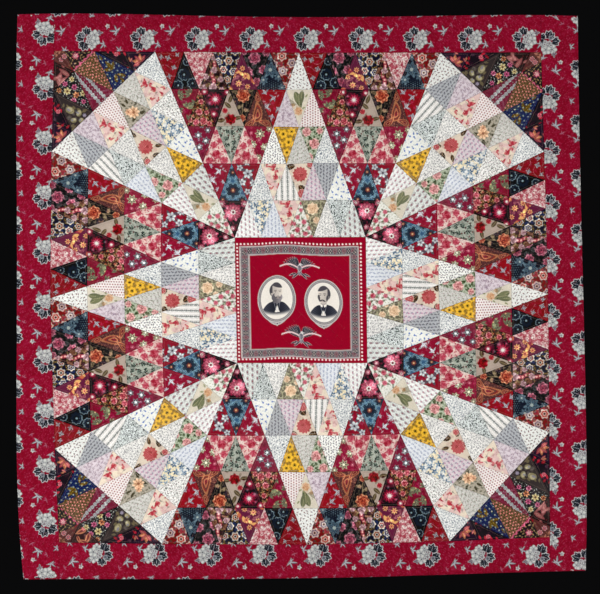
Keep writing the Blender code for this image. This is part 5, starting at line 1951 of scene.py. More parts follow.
def wood(name, early, late, pore, axis, rough, coat=0.0, ring=26.0,
         pores=0.55):
    """Grain that runs along one axis: rings cut lengthways, ray fleck,
    pores and broad clouds of darker tone."""
    m, nt, bs = tree(name)
    tc = nt.nodes.new("ShaderNodeTexCoord")
    long_, across = 0.55, 12.0
    sc = {"X": (long_, across, across), "Z": (across, across, long_)}[axis]
    mp = N_(nt, "Mapping", Scale=sc)
    nt.links.new(tc.outputs["Object"], mp.inputs["Vector"])
    warp = N_(nt, "TexNoise", Scale=1.2, Detail=3.0, Roughness=0.55)
    nt.links.new(mp.outputs[0], warp.inputs["Vector"])
    va = nt.nodes.new("ShaderNodeVectorMath")
    va.operation = "MULTIPLY_ADD"
    nt.links.new(warp.outputs["Color"], va.inputs[0])
    va.inputs[1].default_value = (0.5, 0.5, 0.5)
    nt.links.new(mp.outputs[0], va.inputs[2])
    sp = N_(nt, "SeparateXYZ")
    nt.links.new(va.outputs[0], sp.inputs[0])
    oth = "Y" if axis == "X" else "X"
    thi = "Z" if axis == "X" else "Y"
    rr = math_(nt, "SQRT", math_(nt, "ADD", math_(
        nt, "POWER", math_(nt, "ADD", sp.outputs[oth], 1.7), 2.0),
        math_(nt, "POWER", sp.outputs[thi], 2.0)))
    fr = math_(nt, "FRACT", math_(nt, "MULTIPLY", rr, ring))
    band = ramp(nt, fr, 0.15, 0.95)
    col = mix(nt, band, early, late)
    fs = {"X": (14.0, 900.0, 900.0), "Z": (900.0, 900.0, 14.0)}[axis]
    mp2 = N_(nt, "Mapping", Scale=fs)
    nt.links.new(tc.outputs["Object"], mp2.inputs["Vector"])
    fib = N_(nt, "TexNoise", Scale=1.0, Detail=3.0, Roughness=0.65)
    nt.links.new(mp2.outputs[0], fib.inputs["Vector"])
    col = mix(nt, ramp(nt, fib.outputs["Fac"], 0.35, 0.7, 0.0, 0.35), col,
              late)
    ps = {"X": (60.0, 2600.0, 2600.0), "Z": (2600.0, 2600.0, 60.0)}[axis]
    mp3 = N_(nt, "Mapping", Scale=ps)
    nt.links.new(tc.outputs["Object"], mp3.inputs["Vector"])
    po = N_(nt, "TexNoise", Scale=0.7, Detail=0.0)
    nt.links.new(mp3.outputs[0], po.inputs["Vector"])
    pit = math_(nt, "MULTIPLY", ramp(nt, po.outputs["Fac"], 0.62, 0.68),
                math_(nt, "SUBTRACT", 1.0, math_(nt, "MULTIPLY", band,
                                                 0.6)))
    col = mix(nt, math_(nt, "MULTIPLY", pit, pores), col, pore)
    big = N_(nt, "TexNoise", Scale=2.3, Detail=2.0)
    nt.links.new(tc.outputs["Object"], big.inputs["Vector"])
    col = mix(nt, ramp(nt, big.outputs["Fac"], 0.35, 0.7, 0.0, 0.25), col,
              tuple(c * 0.72 for c in early))
    nt.links.new(col, bs.inputs["Base Color"])
    rg = math_(nt, "ADD", math_(nt, "MULTIPLY", fib.outputs["Fac"], 0.18),
               rough - 0.09)
    nt.links.new(rg, bs.inputs["Roughness"])
    if coat:
        bs.inputs["Coat Weight"].default_value = coat
        bs.inputs["Coat Roughness"].default_value = 0.28
    hgt = math_(nt, "ADD", math_(nt, "MULTIPLY", fib.outputs["Fac"], 0.10),
                math_(nt, "MULTIPLY", pit, -0.16))
    hgt = math_(nt, "ADD", hgt, math_(nt, "MULTIPLY", band, 0.03))
    bp = N_(nt, "Bump", Strength=0.8, Distance=0.001)
    nt.links.new(hgt, bp.inputs["Height"])
    nt.links.new(bp.outputs[0], bs.inputs["Normal"])
    return m


OAK = wood("oiled_oak", (0.360, 0.215, 0.105), (0.235, 0.125, 0.055),
           (0.10, 0.05, 0.022), "X", 0.46, coat=0.12)
OAK_UP = wood("oiled_oak_upright", (0.375, 0.225, 0.110),
              (0.245, 0.130, 0.058), (0.10, 0.05, 0.022), "Z", 0.46,
              coat=0.12)
ASH = wood("sanded_ash", (0.60, 0.455, 0.285), (0.46, 0.32, 0.18),
           (0.30, 0.19, 0.10), "X", 0.52, ring=34.0, pores=0.4)
WALNUT = wood("satin_walnut", (0.150, 0.080, 0.045), (0.080, 0.040, 0.022),
              (0.03, 0.015, 0.008), "X", 0.34, coat=0.25, ring=60.0)


def steel(name, tint, rough):
    """Zinc plate with its dull clouds, fine scratches and dirt."""
    m, nt, bs = tree(name)
    tc = nt.nodes.new("ShaderNodeTexCoord")
    cl = N_(nt, "TexVoronoi", Scale=260.0)
    nt.links.new(tc.outputs["Object"], cl.inputs["Vector"])
    n1 = N_(nt, "TexNoise", Scale=90.0, Detail=4.0)
    nt.links.new(tc.outputs["Object"], n1.inputs["Vector"])
    col = mix(nt, ramp(nt, n1.outputs["Fac"], 0.40, 0.68, 0.0, 0.5), tint,
              tuple(c * 0.62 for c in tint))
    col = mix(nt, math_(nt, "MULTIPLY", cl.outputs["Distance"], 0.25), col,
              tuple(min(1, c * 1.2) for c in tint))
    nt.links.new(col, bs.inputs["Base Color"])
    bs.inputs["Metallic"].default_value = 1.0
    rg = math_(nt, "ADD", math_(nt, "MULTIPLY", n1.outputs["Fac"], 0.3),
               rough - 0.15)
    nt.links.new(rg, bs.inputs["Roughness"])
    mp = N_(nt, "Mapping", Scale=(4000.0, 4000.0, 120.0))
    nt.links.new(tc.outputs["Object"], mp.inputs["Vector"])
    sc = N_(nt, "TexNoise", Scale=1.0, Detail=2.0)
    nt.links.new(mp.outputs[0], sc.inputs["Vector"])
    bp = N_(nt, "Bump", Strength=0.35, Distance=0.0002)
    nt.links.new(sc.outputs["Fac"], bp.inputs["Height"])
    nt.links.new(bp.outputs[0], bs.inputs["Normal"])
    return m


ZINC = steel("zinc_plated_screw", (0.66, 0.66, 0.63), 0.38)
PLATE = steel("zinc_plated_plate", (0.58, 0.58, 0.57), 0.42)

for nm, node in NODES.items():
    mat = None
    if nm == "wall_board":
        mat = OAK
    elif nm.startswith("bracket_screw") or nm.startswith("keyhole_screw"):
        mat = ZINC
    elif nm.startswith("keyhole_plate"):
        mat = PLATE
    elif nm.startswith("bracket_"):
        mat = OAK_UP
    elif nm == "rod":
        mat = ASH
    elif nm.startswith("finial_"):
        mat = WALNUT
    if mat is not None:
        for sl in node.material_slots:
            sl.material = mat


# ------------------------------------------------------------------ cloth relief
def drape(x, z):
    """How far the hanging quilt stands off its plane, towards the front."""
    x, z = np.asarray(x, float), np.asarray(z, float)
    hang = S(-0.10, -0.75, z)
    d = 0.0021 * np.sin(2 * PI * (x / 0.83 + 0.11 + 0.10 * z))
    d = d + 0.0013 * np.sin(2 * PI * (x / 0.41 - 0.27 - 0.06 * z))
    d = d + 0.0009 * np.sin(2 * PI * (0.35 * x + z / 0.62 + 0.3))
    d = d * hang
    edge = np.minimum(np.minimum(x + 1.06, 1.07 - x), z + 2.07)
    rip = np.exp(-np.clip(edge, 0, None) / 0.055)
    along = np.where(np.abs(x) > 0.95, z, x)
    r = np.sin(2 * PI * along / 0.272 + 1.1) + 0.7 * np.sin(
        2 * PI * along / 0.163 + 0.4)
    d = d + 0.0016 * rip * r * S(-0.05, -0.30, z)
    return d + 0.0022 * hang


def pucker(x, z):
    """Small puckers that hand quilting draws into washed cotton."""
    u, v = x * 1000.0, z * 1000.0
    a = fbm(u * 0.9 + v * 0.3, v * 1.1 - u * 0.2, 12.0, 61, 2) - 0.5
    b = fbm(u, v, 34.0, 67, 2) - 0.5
    return (1.25 * a + 1.5 * b) * 0.001





def puff(d):
    """Loft of a patch at d millimetres from its nearest seam, in metres."""
    d = np.clip(d, 0, None)
    p = 1.15 * (1.0 - np.exp(-d / 3.2)) + 0.55 * S(8.0, 22.0, d)
    return (p - 0.85 * np.exp(-((d - SEAM_LINE) / 1.9) ** 2)) * 0.001


def groove(w, pitch):
    """Distance in mm to the nearest of the parallel lines w = k pitch."""
    return np.abs((w / pitch + 0.5) % 1.0 - 0.5) * pitch


# --------------------------------------------------------------------- mesh help
def new_mesh(name, co, faces, smooth=True):
    me = bpy.data.meshes.new(name)
    co = np.asarray(co, np.float32)
    faces = np.asarray(faces, np.int32)
    k = faces.shape[1]
    me.vertices.add(len(co))
    me.vertices.foreach_set("co", co.ravel())
    me.loops.add(faces.size)
    me.loops.foreach_set("vertex_index", faces.ravel())
    me.polygons.add(len(faces))
    me.polygons.foreach_set("loop_start", np.arange(0, faces.size, k,
                                                    dtype=np.int32))
    me.update(calc_edges=True)
    if smooth:
        me.polygons.foreach_set("use_smooth", np.ones(len(faces), bool))
    ob = bpy.data.objects.new(name, me)
    scene.collection.objects.link(ob)
    return ob


def paint(ob, rgb):
    """Corner colours, 0 to 255 as displayed."""
    at = ob.data.color_attributes.new(name="print", type="BYTE_COLOR",
                                      domain="CORNER")
    c = np.ones((len(rgb), 4), np.float32)
    c[:, :3] = np.clip(np.asarray(rgb) / 255.0, 0, 1)
    at.data.foreach_set("color_srgb", c.ravel())


def note(ob, val):
    """Per corner: distance from the line the quilting follows, and the
    place along it, in millimetres."""
    at = ob.data.attributes.new(name="quilting", type="FLOAT_VECTOR",
                                domain="CORNER")
    v = np.zeros((len(val), 3), np.float32)
    v[:, :2] = val
    at.data.foreach_set("vector", v.ravel())


def bake_uv(ob, uv):
    lay = ob.data.uv_layers.new(name="OFBake")
    lay.data.foreach_set("uv", np.asarray(uv, np.float32).ravel())


def planar_uv(ob, faces, co):
    """The piece laid flat in the unit square."""
    p = np.asarray(co)[:, (0, 2)]
    lo, hi = p.min(0), p.max(0)
    uv = (p - lo) / max((hi - lo).max(), 1e-6) * 0.98 + 0.01
    bake_uv(ob, uv[np.asarray(faces).ravel()])


def dress(ob, body, nodes, slot, mat, sheet=None):
    ob.data.materials.append(mat)
    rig.ride(ob, body)
    if nodes:
        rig.replaces(ob, *nodes)
    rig.slot(ob, slot)
    if sheet:
        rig.sheet(ob, **sheet)
    return ob


def facing(co, faces, sign=-1.0):
    """The faces, all turned so that their normals' y has this sign."""
    a, b, c = co[faces[:, 0]], co[faces[:, 1]], co[faces[:, 2]]
    ny = ((b[:, 2] - a[:, 2]) * (c[:, 0] - a[:, 0])
          - (b[:, 0] - a[:, 0]) * (c[:, 2] - a[:, 2]))
    bad = ny * sign < 0
    faces = faces.copy()
    faces[bad] = faces[bad][:, ::-1]
    return faces


def rnd(*key):
    """A fixed number from 0 to 1 for this key."""
    k = np.array([1])
    h = 17
    for v in key:
        h = (h * 131 + int(v)) & 0x7FFFFFFF
    return float(hsh(k * h, k * 3, 5)[0])


# --------------------------------------------------------- pieced units
N = 24 if QUICK else 64         # steps of the mesh across one patch
_r = np.concatenate([np.full(r + 1, r) for r in range(N + 1)])
_c = np.concatenate([np.arange(r + 1) for r in range(N + 1)])
_f = []
for r in range(N):
    a_, b_ = r * (r + 1) // 2, (r + 1) * (r + 2) // 2
    k_ = np.arange(r + 1)
    _f.append(np.stack((a_ + k_, b_ + k_, b_ + k_ + 1), 1))
    k_ = np.arange(r)
    _f.append(np.stack((a_ + k_, b_ + k_ + 1, a_ + k_ + 1), 1))
TRI_F = np.concatenate(_f)
TRI_W = np.stack((1.0 - _r / N, (_r - _c) / N, _c / N), 1)   # weights


def pieced(name, node, patches, uax, slot, mat, seed):
    """One pieced unit.  Each patch is (corner, corner, corner, cotton)."""
    uax = uax / np.hypot(*uax)
    vax = np.array((-uax[1], uax[0]))
    pos, fac, rgbs, notes, dists = [], [], [], [], []
    base = 0
    area = 0.0
    for i, (p0, p1, p2, cloth) in enumerate(patches):
        P = TRI_W @ np.stack((p0, p1, p2))
        C0 = (p0 + p1 + p2) / 3.0
        d = (P - C0) * 1000.0
        u, v = d @ uax, d @ vax
        fn, du, dv, ang = (cloth if isinstance(cloth, tuple)
                           else (cloth, 0.0, 0.0, 0.0))
        uu, vv = rt(u + du + (rnd(seed, i, 1) - 0.5) * 7.0,
                    v + dv + (rnd(seed, i, 2) - 0.5) * 7.0,
                    ang + (rnd(seed, i, 3) - 0.5) * 0.09)
        rgb = grain(fn(uu, vv, 3 + i % 5), u, v, seed * 31 + i)
        cr = abs(float((p1 - p0)[0] * (p2 - p0)[1]
                       - (p1 - p0)[1] * (p2 - p0)[0]))
        area += cr / 2.0
        e = []
        t = []
        for k, (a, b) in enumerate(((p1, p2), (p2, p0), (p0, p1))):
            ln = np.hypot(*(b - a))
            e.append(TRI_W[:, k] * cr / ln * 1000.0)
            t.append((P - a) @ ((b - a) / ln) * 1000.0)
        e, t = np.stack(e, 1), np.stack(t, 1)
        dm = e.min(1)
        # painted shade along the seams
        rgb = rgb * (1.0 - 0.16 * np.exp(-(dm / 1.0) ** 2))[:, None]
        ef, tf = e[TRI_F], t[TRI_F]
        near = ef.mean(1).argmin(1)
        idx = np.arange(len(TRI_F))
        notes.append(np.stack((ef[idx, :, near], tf[idx, :, near]), 2))
        rgbs.append(rgb[TRI_F])
        pos.append(P)
        dists.append(dm)
        fac.append(TRI_F + base)
        base += len(P)
    P = np.concatenate(pos)
    key, first, inv = np.unique(np.round(P * 1e6 + 0.137).astype(np.int64),
                                axis=0, return_index=True,
                                return_inverse=True)
    inv = inv.reshape(-1)
    dist = np.full(len(key), 1e9)
    np.minimum.at(dist, inv, np.concatenate(dists))
    dist[dist < 1e-6] = 0.0
    P = P[first]
    faces = inv[np.concatenate(fac)]
    rgb = np.concatenate(rgbs)
    nt = np.concatenate(notes)
    x, z = P[:, 0], P[:, 1]
    h = drape(x, z) + pucker(x, z) + puff(dist)
    co = np.stack((x, TOP_Y - h, z), 1)
    turned_ = facing(co, faces)
    flipped = turned_[:, 0] != faces[:, 0]
    rgb[flipped] = rgb[flipped][:, ::-1]
    nt[flipped] = nt[flipped][:, ::-1]
    ob = new_mesh(name, co, turned_)
    paint(ob, rgb.reshape(-1, 3))
    note(ob, nt.reshape(-1, 2))
    planar_uv(ob, turned_, co)
    w, l = np.ptp(P @ uax), np.ptp(P @ vax)
    return dress(ob, "quilt", [node], slot, mat,
                 dict(flat=(float(w), float(l)), held="hung",
                      rests_on=["rod"], area=float(min(area, w * l))))


def rows_of(A, L, R, cloths, seed):
    """The 25 patches between the apex A and the base L to R."""
    J = {}
    for r in range(6):
        for c in range(r + 1):
            p = A + (L - A) * (r / 5.0) + (R - L) * (c / 5.0)
            if 0 < r < 5 and 0 < c < r:
                p = p + (np.array((rnd(seed, r, c, 1), rnd(seed, r, c, 2)))
                         - 0.5) * 0.004
            J[r, c] = p
    out = []
    for r in range(5):
        for k in range(2 * r + 1):
            j = k // 2
            if k % 2 == 0:
                tri = (J[r, j], J[r + 1, j], J[r + 1, j + 1])
            else:
                tri = (J[r, j], J[r, j + 1], J[r + 1, j + 1])
            out.append((*tri, cloths[r][k]))
    return out


def meet(p, q, a, b):
    """Where line p-q crosses line a-b."""
    d, e = q - p, b - a
    t = ((a - p)[0] * e[1] - (a - p)[1] * e[0]) / (d[0] * e[1] - d[1] * e[0])
    return p + d * t


def corner_of(L, K, R, mauve):
    """The patches of a corner block: long side L to R, corner K."""
    B = [L + (R - L) * (i / 5.0) for i in range(6)]
    T2, T4 = L + (K - L) * 0.598, R + (K - R) * 0.598
    T3 = (T2 + T4) / 2.0
    X0 = meet(L, K, B[1], 2 * T2 - T3)
    X4 = meet(R, K, B[4], 2 * T4 - T3)
    Y0 = meet(L, K, T3, T2 + T3 - B[2])
    Y1 = meet(R, K, T3, T3 + T4 - B[3])
    return [(B[0], B[1], X0, C01), (X0, B[1], T2, C02),
            (B[1], B[2], T2, C07), (T2, B[2], T3, C06),
            (B[2], B[3], T3, C05), (T3, B[3], T4, C04),
            (B[3], B[4], T4, C03), (T4, B[4], X4, C02),
            (B[4], B[5], X4, C01), (T2, T3, Y0, mauve),
            (T3, T4, Y1, C08), (T3, Y0, K, C09), (T3, K, Y1, C09)]


# what each patch is cut from, row by row from the apex
CARDINAL = [
    [L01],
    [L02, L03, L04],
    [L08, L07, L06, L05, L09],
    [L09, L10, L11, L12, L02b, L13, L14],
    [L15, L16, L17, L10, L18, L19, L20, L21, L15g],
]
NORTH = [list(r) for r in CARDINAL]
NORTH[2][1], NORTH[2][3] = L05, L07
DIAGONAL_W = [
    [L18],
    [L15, L03, L15g],
    [L17, L07, L20, L05, L14],
    [L11, L21, L20, L12, L02b, L16, L23],
    [L01, L13, L02, L10, L04, L22, L06, L10, L09],
]
DIAGONAL_NE = [list(r) for r in DIAGONAL_W]
DIAGONAL_NE[2] = [L14, L05, L20, L07, L17]
DIAGONAL_SE = [list(r) for r in DIAGONAL_W]
DIAGONAL_SE[2] = [L09, L07, L20, L05, L17]
DIAGONAL_SW = [list(r) for r in DIAGONAL_W]
DIAGONAL_SW[3] = DIAGONAL_SW[3][::-1]
DIAGONAL_SW[4] = DIAGONAL_SW[4][::-1]
WEDGE = [
    [D24],
    [D16, D22, D23],
    [D17, D18, D19, D18, D20],
    [D10, D11, D12, D13, D14, D15, D21],
    [D01, D02, D03, D04, D05, D06, D07, D08, D09],
]
WEDGE_NE = [list(r) for r in WEDGE]
WEDGE_NE[4][2], WEDGE_NE[4][6] = D07, D03
WEDGE_NW = [list(r) for r in WEDGE]
WEDGE_NW[4][3], WEDGE_NW[4][5] = D06, D04

UNITS = []
for nm, ap, a, b, cl in (("north", "n", "nw", "ne", NORTH),
                         ("east", "e", "ne", "se", CARDINAL),
                         ("south", "s", "se", "sw", CARDINAL),
                         ("west", "w", "sw", "nw", CARDINAL)):
    UNITS.append(("pieced_star_point_" + nm, "star_point_" + nm,
                  F[ap], M[a], M[b], cl, "light_cotton"))
for nm, ap, a, b, cl in (("northeast", "ne", "n_r", "e_t", DIAGONAL_NE),
                         ("southeast", "se", "e_b", "s_r", DIAGONAL_SE),
                         ("southwest", "sw", "s_l", "w_b", DIAGONAL_SW),
                         ("northwest", "nw", "w_t", "n_l", DIAGONAL_W)):
    UNITS.append(("pieced_star_point_" + nm, "star_point_" + nm,
                  M[ap], F[a], F[b], cl, "light_cotton"))
for nm, ap, a, b, cl in (("north_east", "ne", "n", "n_r", WEDGE_NE),
                         ("east_north", "ne", "e_t", "e", WEDGE),
                         ("east_south", "se", "e", "e_b", WEDGE),
                         ("south_east", "se", "s_r", "s", WEDGE),
                         ("south_west", "sw", "s", "s_l", WEDGE),
                         ("west_south", "sw", "w_b", "w", WEDGE),
                         ("west_north", "nw", "w", "w_t", WEDGE),
                         ("north_west", "nw", "n_l", "n", WEDGE_NW)):
    UNITS.append(("pieced_dark_wedge_" + nm, "dark_wedge_" + nm,
                  M[ap], F[a], F[b], cl, "dark_cotton"))
for i, (nm, node, A, L, R, cl, slot) in enumerate(UNITS):
    pieced(nm, node, rows_of(A, L, R, cl, i + 3), R - L, slot,
           LIGHT if slot == "light_cotton" else DARK, i + 3)
for i, (nm, K, a, b) in enumerate((("northeast", "ne", "n_r", "e_t"),
                                   ("southeast", "se", "e_b", "s_r"),
                                   ("southwest", "sw", "s_l", "w_b"),
                                   ("northwest", "nw", "w_t", "n_l"))):
    pieced("pieced_corner_block_" + nm, "corner_block_" + nm,
           corner_of(F[a], F[K], F[b], C10 if nm == "southwest" else C11),
           F[b] - F[a], "dark_cotton", DARK, 40 + i)


# --------------------------------------------------------- borders as grids
def resample(pts, n, keep=()):
    """n + 1 points along a polyline, with the corners in keep kept."""
    pts = np.asarray(pts, float)
    s = np.concatenate(([0.0], np.cumsum(np.hypot(*np.diff(pts,
                                                           axis=0).T))))
    t = np.linspace(0.0, s[-1], n + 1)
    for i in keep:
        j = int(np.clip(np.round(s[i] / s[-1] * n), 1, n - 1))
        t[j] = s[i]
    return np.stack([np.interp(t, s, pts[:, k]) for k in (0, 1)], 1)


def coons(bottom, top, left, right):
    """Grid of points between four edges.  bottom and top have the same
    number of points, and so have left and right, which join them."""
    n, m = len(bottom), len(left)
    s = np.linspace(0, 1, n)[:, None, None]
    t = np.linspace(0, 1, m)[None, :, None]
    A = (1 - t) * bottom[:, None, :] + t * top[:, None, :]
    B = (1 - s) * left[None, :, :] + s * right[None, :, :]
    C = ((1 - s) * (1 - t) * bottom[0] + s * (1 - t) * bottom[-1]
         + (1 - s) * t * top[0] + s * t * top[-1])
    return A + B - C


def grid_faces(n, m):
    i, j = np.meshgrid(np.arange(n - 1), np.arange(m - 1), indexing="ij")
    a = (i * m + j).ravel()
    return np.stack((a, a + 1, a + m + 1, a + m), 1)


def strip_uv(ob, n, m, faces, rows=4):
    """A long strip's faces folded into a few rows of the unit square."""
    i, j = np.divmod(faces, m)
    first = i.min(1)
    per = int(math.ceil((n - 1) / rows))
    row = first // per
    lu = (i - row[:, None] * per) / per * 0.98 + 0.01
    lv = (row[:, None] + 0.02 + 0.96 * j / (m - 1)) / rows
    bake_uv(ob, np.stack((lu, lv), 2).reshape(-1, 2))


INSET = 0.0046                 # the border's cloth ends under the binding


def inset_side(name, dist):
    a, b = SIDES[name]
    t = np.linspace(0, 1, 401)
    p = side_run(name, a, b, t)
    d = np.gradient(p, axis=0)
    d = d / np.hypot(d[:, 0], d[:, 1])[:, None]
    return p + np.stack((d[:, 1], -d[:, 0]), 1) * dist


def crossing(p, x):
    """The point of the run p (in x order or its reverse) at x."""
    o = np.argsort(p[:, 0])
    return np.array((x, np.interp(x, p[o, 0], p[o, 1])))


RUN = {k: inset_side(k, INSET) for k in SIDES}
RUN_MEET = {}
for k, a, b in (("nw", "left", "top"), ("ne", "top", "right"),
                ("se", "right", "bottom"), ("sw", "bottom", "left")):
    RUN_MEET[k] = meet(RUN[a][-2], RUN[a][-1], RUN[b][0], RUN[b][1])


def clipped(p, a, b):
    """The run from point a to point b, both on it."""
    d = p[-1] - p[0]
    s = (p - p[0]) @ d
    lo, hi = (a - p[0]) @ d, (b - p[0]) @ d
    mid = p[(s > lo + 1e-4) & (s < hi - 1e-4)]
    return np.concatenate(([a], mid, [b]))


TL, TR = crossing(RUN["top"], F["nw"][0]), crossing(RUN["top"], F["ne"][0])
BR, BL = (crossing(RUN["bottom"], F["se"][0]),
          crossing(RUN["bottom"], F["sw"][0]))
# inner edge, outer edge, both clockwise, and one flower's place on each
BORDERS = {
    "top": ([F["nw"], F["n_l"], F["n"], F["n_r"], F["ne"]],
            clipped(RUN["top"], TL, TR), (-0.8113, -0.0317)),
    "right": ([TR, F["ne"], F["e_t"], F["e"], F["e_b"], F["se"], BR],
              clipped(RUN["right"], RUN_MEET["ne"], RUN_MEET["se"]),
              (0.9435, -0.0420)),
    "bottom": ([F["se"], F["s_r"], F["s"], F["s_l"], F["sw"]],
               clipped(RUN["bottom"], BR, BL), (-0.7524, -1.9921)),
    "left": ([BL, F["sw"], F["w_b"], F["w"], F["w_t"], F["nw"], TL],
             clipped(RUN["left"], RUN_MEET["sw"], RUN_MEET["nw"]),
             (-0.9736, -0.0176)),
}
STEP = 0.0045 if QUICK else 0.00172


def border(side):
    inner, outer, flower = BORDERS[side]
    inner = np.asarray(inner)
    length = np.hypot(*np.diff(inner, axis=0).T).sum()
    n = int(length / STEP)
    m = int(0.128 / STEP)
    bot = resample(inner, n, range(1, len(inner) - 1))
    top = resample(outer, n)
    t = np.linspace(0, 1, m + 1)[:, None]
    lft = bot[0] + (top[0] - bot[0]) * t
    rgt = bot[-1] + (top[-1] - bot[-1]) * t
    if side in ("left", "right"):       # the ends follow the outline
        for run, arr in ((RUN["top"], lft if side == "right" else rgt),
                         (RUN["bottom"], rgt if side == "right" else lft)):
            o = np.argsort(run[:, 0])
            arr[:, 1] = np.interp(arr[:, 0], run[o, 0], run[o, 1])
    G = coons(bot, top, lft, rgt)
    P = G.reshape(-1, 2)
    a, b = SIDES[side]
    d = OUTLINE[b] - OUTLINE[a]
    d = d / np.hypot(*d)
    if side in ("left", "right"):
        d = np.array((0.0, 1.0 if side == "left" else -1.0))
    else:
        d = np.array((1.0 if side == "top" else -1.0, 0.0))
    out = np.array((-d[1], d[0]))
    # straight print, but it follows the inner seam's slow drift a little
    rel = (P - np.array(flower)) * 1000.0
    u, v = rel @ d, rel @ out
    drift = {"top": 0.0, "right": -0.0027, "bottom": 0.004,
             "left": -0.003}[side]
    v = v + drift * u
    rgb = chintz(u, v, 1)
    x, z = P[:, 0], P[:, 1]
    seam = np.abs((G - G[:, :1]) @ out).reshape(-1) * 1000.0
    if side in ("top", "bottom"):
        ends = np.minimum(np.abs(x - inner[0][0]), np.abs(x - inner[-1][0]))
        seam_all = np.minimum(seam, ends * 1000.0)
    else:
        near = np.stack([np.hypot(*(P - q).T) for q in
                         (inner[0], inner[-1])], 1).min(1) * 1000.0
        seam_all = seam
        beyond = (x > F["nw"][0]) if side == "left" else (x < F["ne"][0])
        # along the short seams above and below the field
        hor = np.abs(x - (F["nw"][0] if side == "left" else F["ne"][0]))
        short = (z > F["nw"][1]) | (z < F["sw"][1])
        seam_all = np.where(short, np.minimum(
            seam, np.clip(hor, 0, None) * 1000.0), seam)
    # painted shade along the seams
    rgb = rgb * (1.0 - 0.18 * np.exp(-(seam_all / 1.1) ** 2))[:, None]
    # slanted quilting lines
    w = (P @ d + P @ out) * 707.1 + 5.0
    g = groove(w, 25.4)
    keep = S(0, 8, seam_all)
    loft = (1.1 * (1.0 - np.exp(-seam_all / 3.2))
            + keep * (0.35 * S(2.0, 9.0, g)
                      - 0.75 * np.exp(-(g / 1.9) ** 2))) * 0.001
    h = drape(x, z) + pucker(x, z) + loft
    # the cloth dips to the binding's fold
    rim = np.tile(np.linspace(0, 1, m + 1), n + 1)
    rim_d = (1.0 - rim) * 125.0
    h = h - 0.0010 * np.exp(-rim_d / 3.0)
    co = np.stack((x, TOP_Y - h, z), 1)
    faces = grid_faces(n + 1, m + 1)
    f2 = facing(co, faces)
    ob = new_mesh("border_cloth_" + side, co, f2)
    paint(ob, rgb[f2].reshape(-1, 3))
    along = (P @ d - P @ out) * 707.1
    nt = np.stack((SEAM_LINE - g, along), 1)
    note(ob, nt[f2].reshape(-1, 2))
    strip_uv(ob, n + 1, m + 1, f2)
    e1, e2 = G[1:, :-1] - G[:-1, :-1], G[:-1, 1:] - G[:-1, :-1]
    area = np.abs(e1[..., 0] * e2[..., 1] - e1[..., 1] * e2[..., 0]).sum()
    W, Ln = float(area / length), float(length)
    return dress(ob, "quilt", ["border_" + side], "red_cotton", RED,
                 dict(flat=(W, Ln), held="hung", rests_on=["rod"]))


for side in BORDERS:
    border(side)


# --------------------------------------------------------- centre kerchief
def fine_steps(lo, hi, fine_lo, fine_hi, fine, coarse):
    a = np.arange(lo, fine_lo, coarse)
    b = np.arange(fine_lo, fine_hi, fine)
    c = np.linspace(fine_hi, hi, int((hi - fine_hi) / coarse) + 2)
    return np.concatenate((a, b, c))


KW, KH = 496.5, 478.0          # the kerchief as cut, between its seams, mm
q = 3.0 if QUICK else 1.0
gx = fine_steps(-KW / 2, KW / 2, -170.0, 160.0, 1.26 * q, 2.1 * q)
gz = fine_steps(-KH / 2, KH / 2, -99.0, 92.0, 1.26 * q, 2.1 * q)
gx, gz = gx / gx[-1] * KW / 2, gz / gz[-1] * KH / 2
gx[0], gz[0] = -KW / 2, -KH / 2
XX, ZZ = (a.ravel() for a in np.meshgrid(gx, gz, indexing="ij"))
s_, t_ = XX / KW + 0.5, 0.5 - ZZ / KH
P = ((1 - s_) * (1 - t_))[:, None] * M["nw"] + (s_ * (1 - t_))[:, None] \
    * M["ne"] + (s_ * t_)[:, None] * M["se"] + ((1 - s_) * t_)[:, None] \
    * M["sw"]
rgb = kerchief(XX, ZZ, 1)
ed = np.minimum(KW / 2 - np.abs(XX), KH / 2 - np.abs(ZZ))
# painted shade along the seams round the kerchief
rgb = rgb * (1.0 - 0.18 * np.exp(-(ed / 1.1) ** 2))[:, None]
# quilted round the ovals and the band, and in diamonds over the ground
ov = 1e9
for x0, y0, a0, b0 in ((-93.0, 0.0, 73.0, 90.0), (84.5, -7.0, 73.0, 88.0)):
    ov = np.minimum(ov, (np.hypot((XX - x0) / a0, (ZZ - y0) / b0) - 1.0)
                    * 80.0)
bandd = np.minimum(np.minimum(XX + 193.3, 184.7 - XX),
                   np.minimum(ZZ + 186.6, 169.8 - ZZ))
g1, g2 = groove((XX + ZZ) * 0.7071, 38.0), groove((XX - ZZ) * 0.7071, 38.0)
free = S(3.0, 9.0, ov) * S(3.0, 9.0, bandd)
loft = 1.1 * (1.0 - np.exp(-ed / 3.2)) + 0.4
loft = loft - 0.75 * np.exp(-((ov - 4.0) / 1.9) ** 2)
loft = loft - 0.55 * np.exp(-((bandd) / 1.9) ** 2)
loft = loft - 0.55 * free * np.maximum(np.exp(-(g1 / 1.9) ** 2),
                                       np.exp(-(g2 / 1.9) ** 2))
x, z = P[:, 0], P[:, 1]
co = np.stack((x, TOP_Y - drape(x, z) - pucker(x, z)
               - (loft - 0.4 * np.exp(-ed / 3.2)) * 0.001, z), 1)
fs = facing(co, grid_faces(len(gx), len(gz)))
ob = new_mesh("printed_centre_kerchief", co, fs)
paint(ob, rgb[fs].reshape(-1, 3))
gd = np.where(ov < 12, np.abs(ov - 4.0), np.where(
    bandd < 6, np.abs(bandd), np.minimum(g1, g2)))
note(ob, np.stack((SEAM_LINE - gd, np.where(g1 < g2, XX - ZZ, XX + ZZ)
                   * 0.7071), 1)[fs].reshape(-1, 2))
planar_uv(ob, fs, co)
dress(ob, "quilt", ["centre_kerchief"], "centre_cotton", RED,
      dict(flat=(KW / 1000.0, KH / 1000.0), held="hung",
           rests_on=["rod"]))


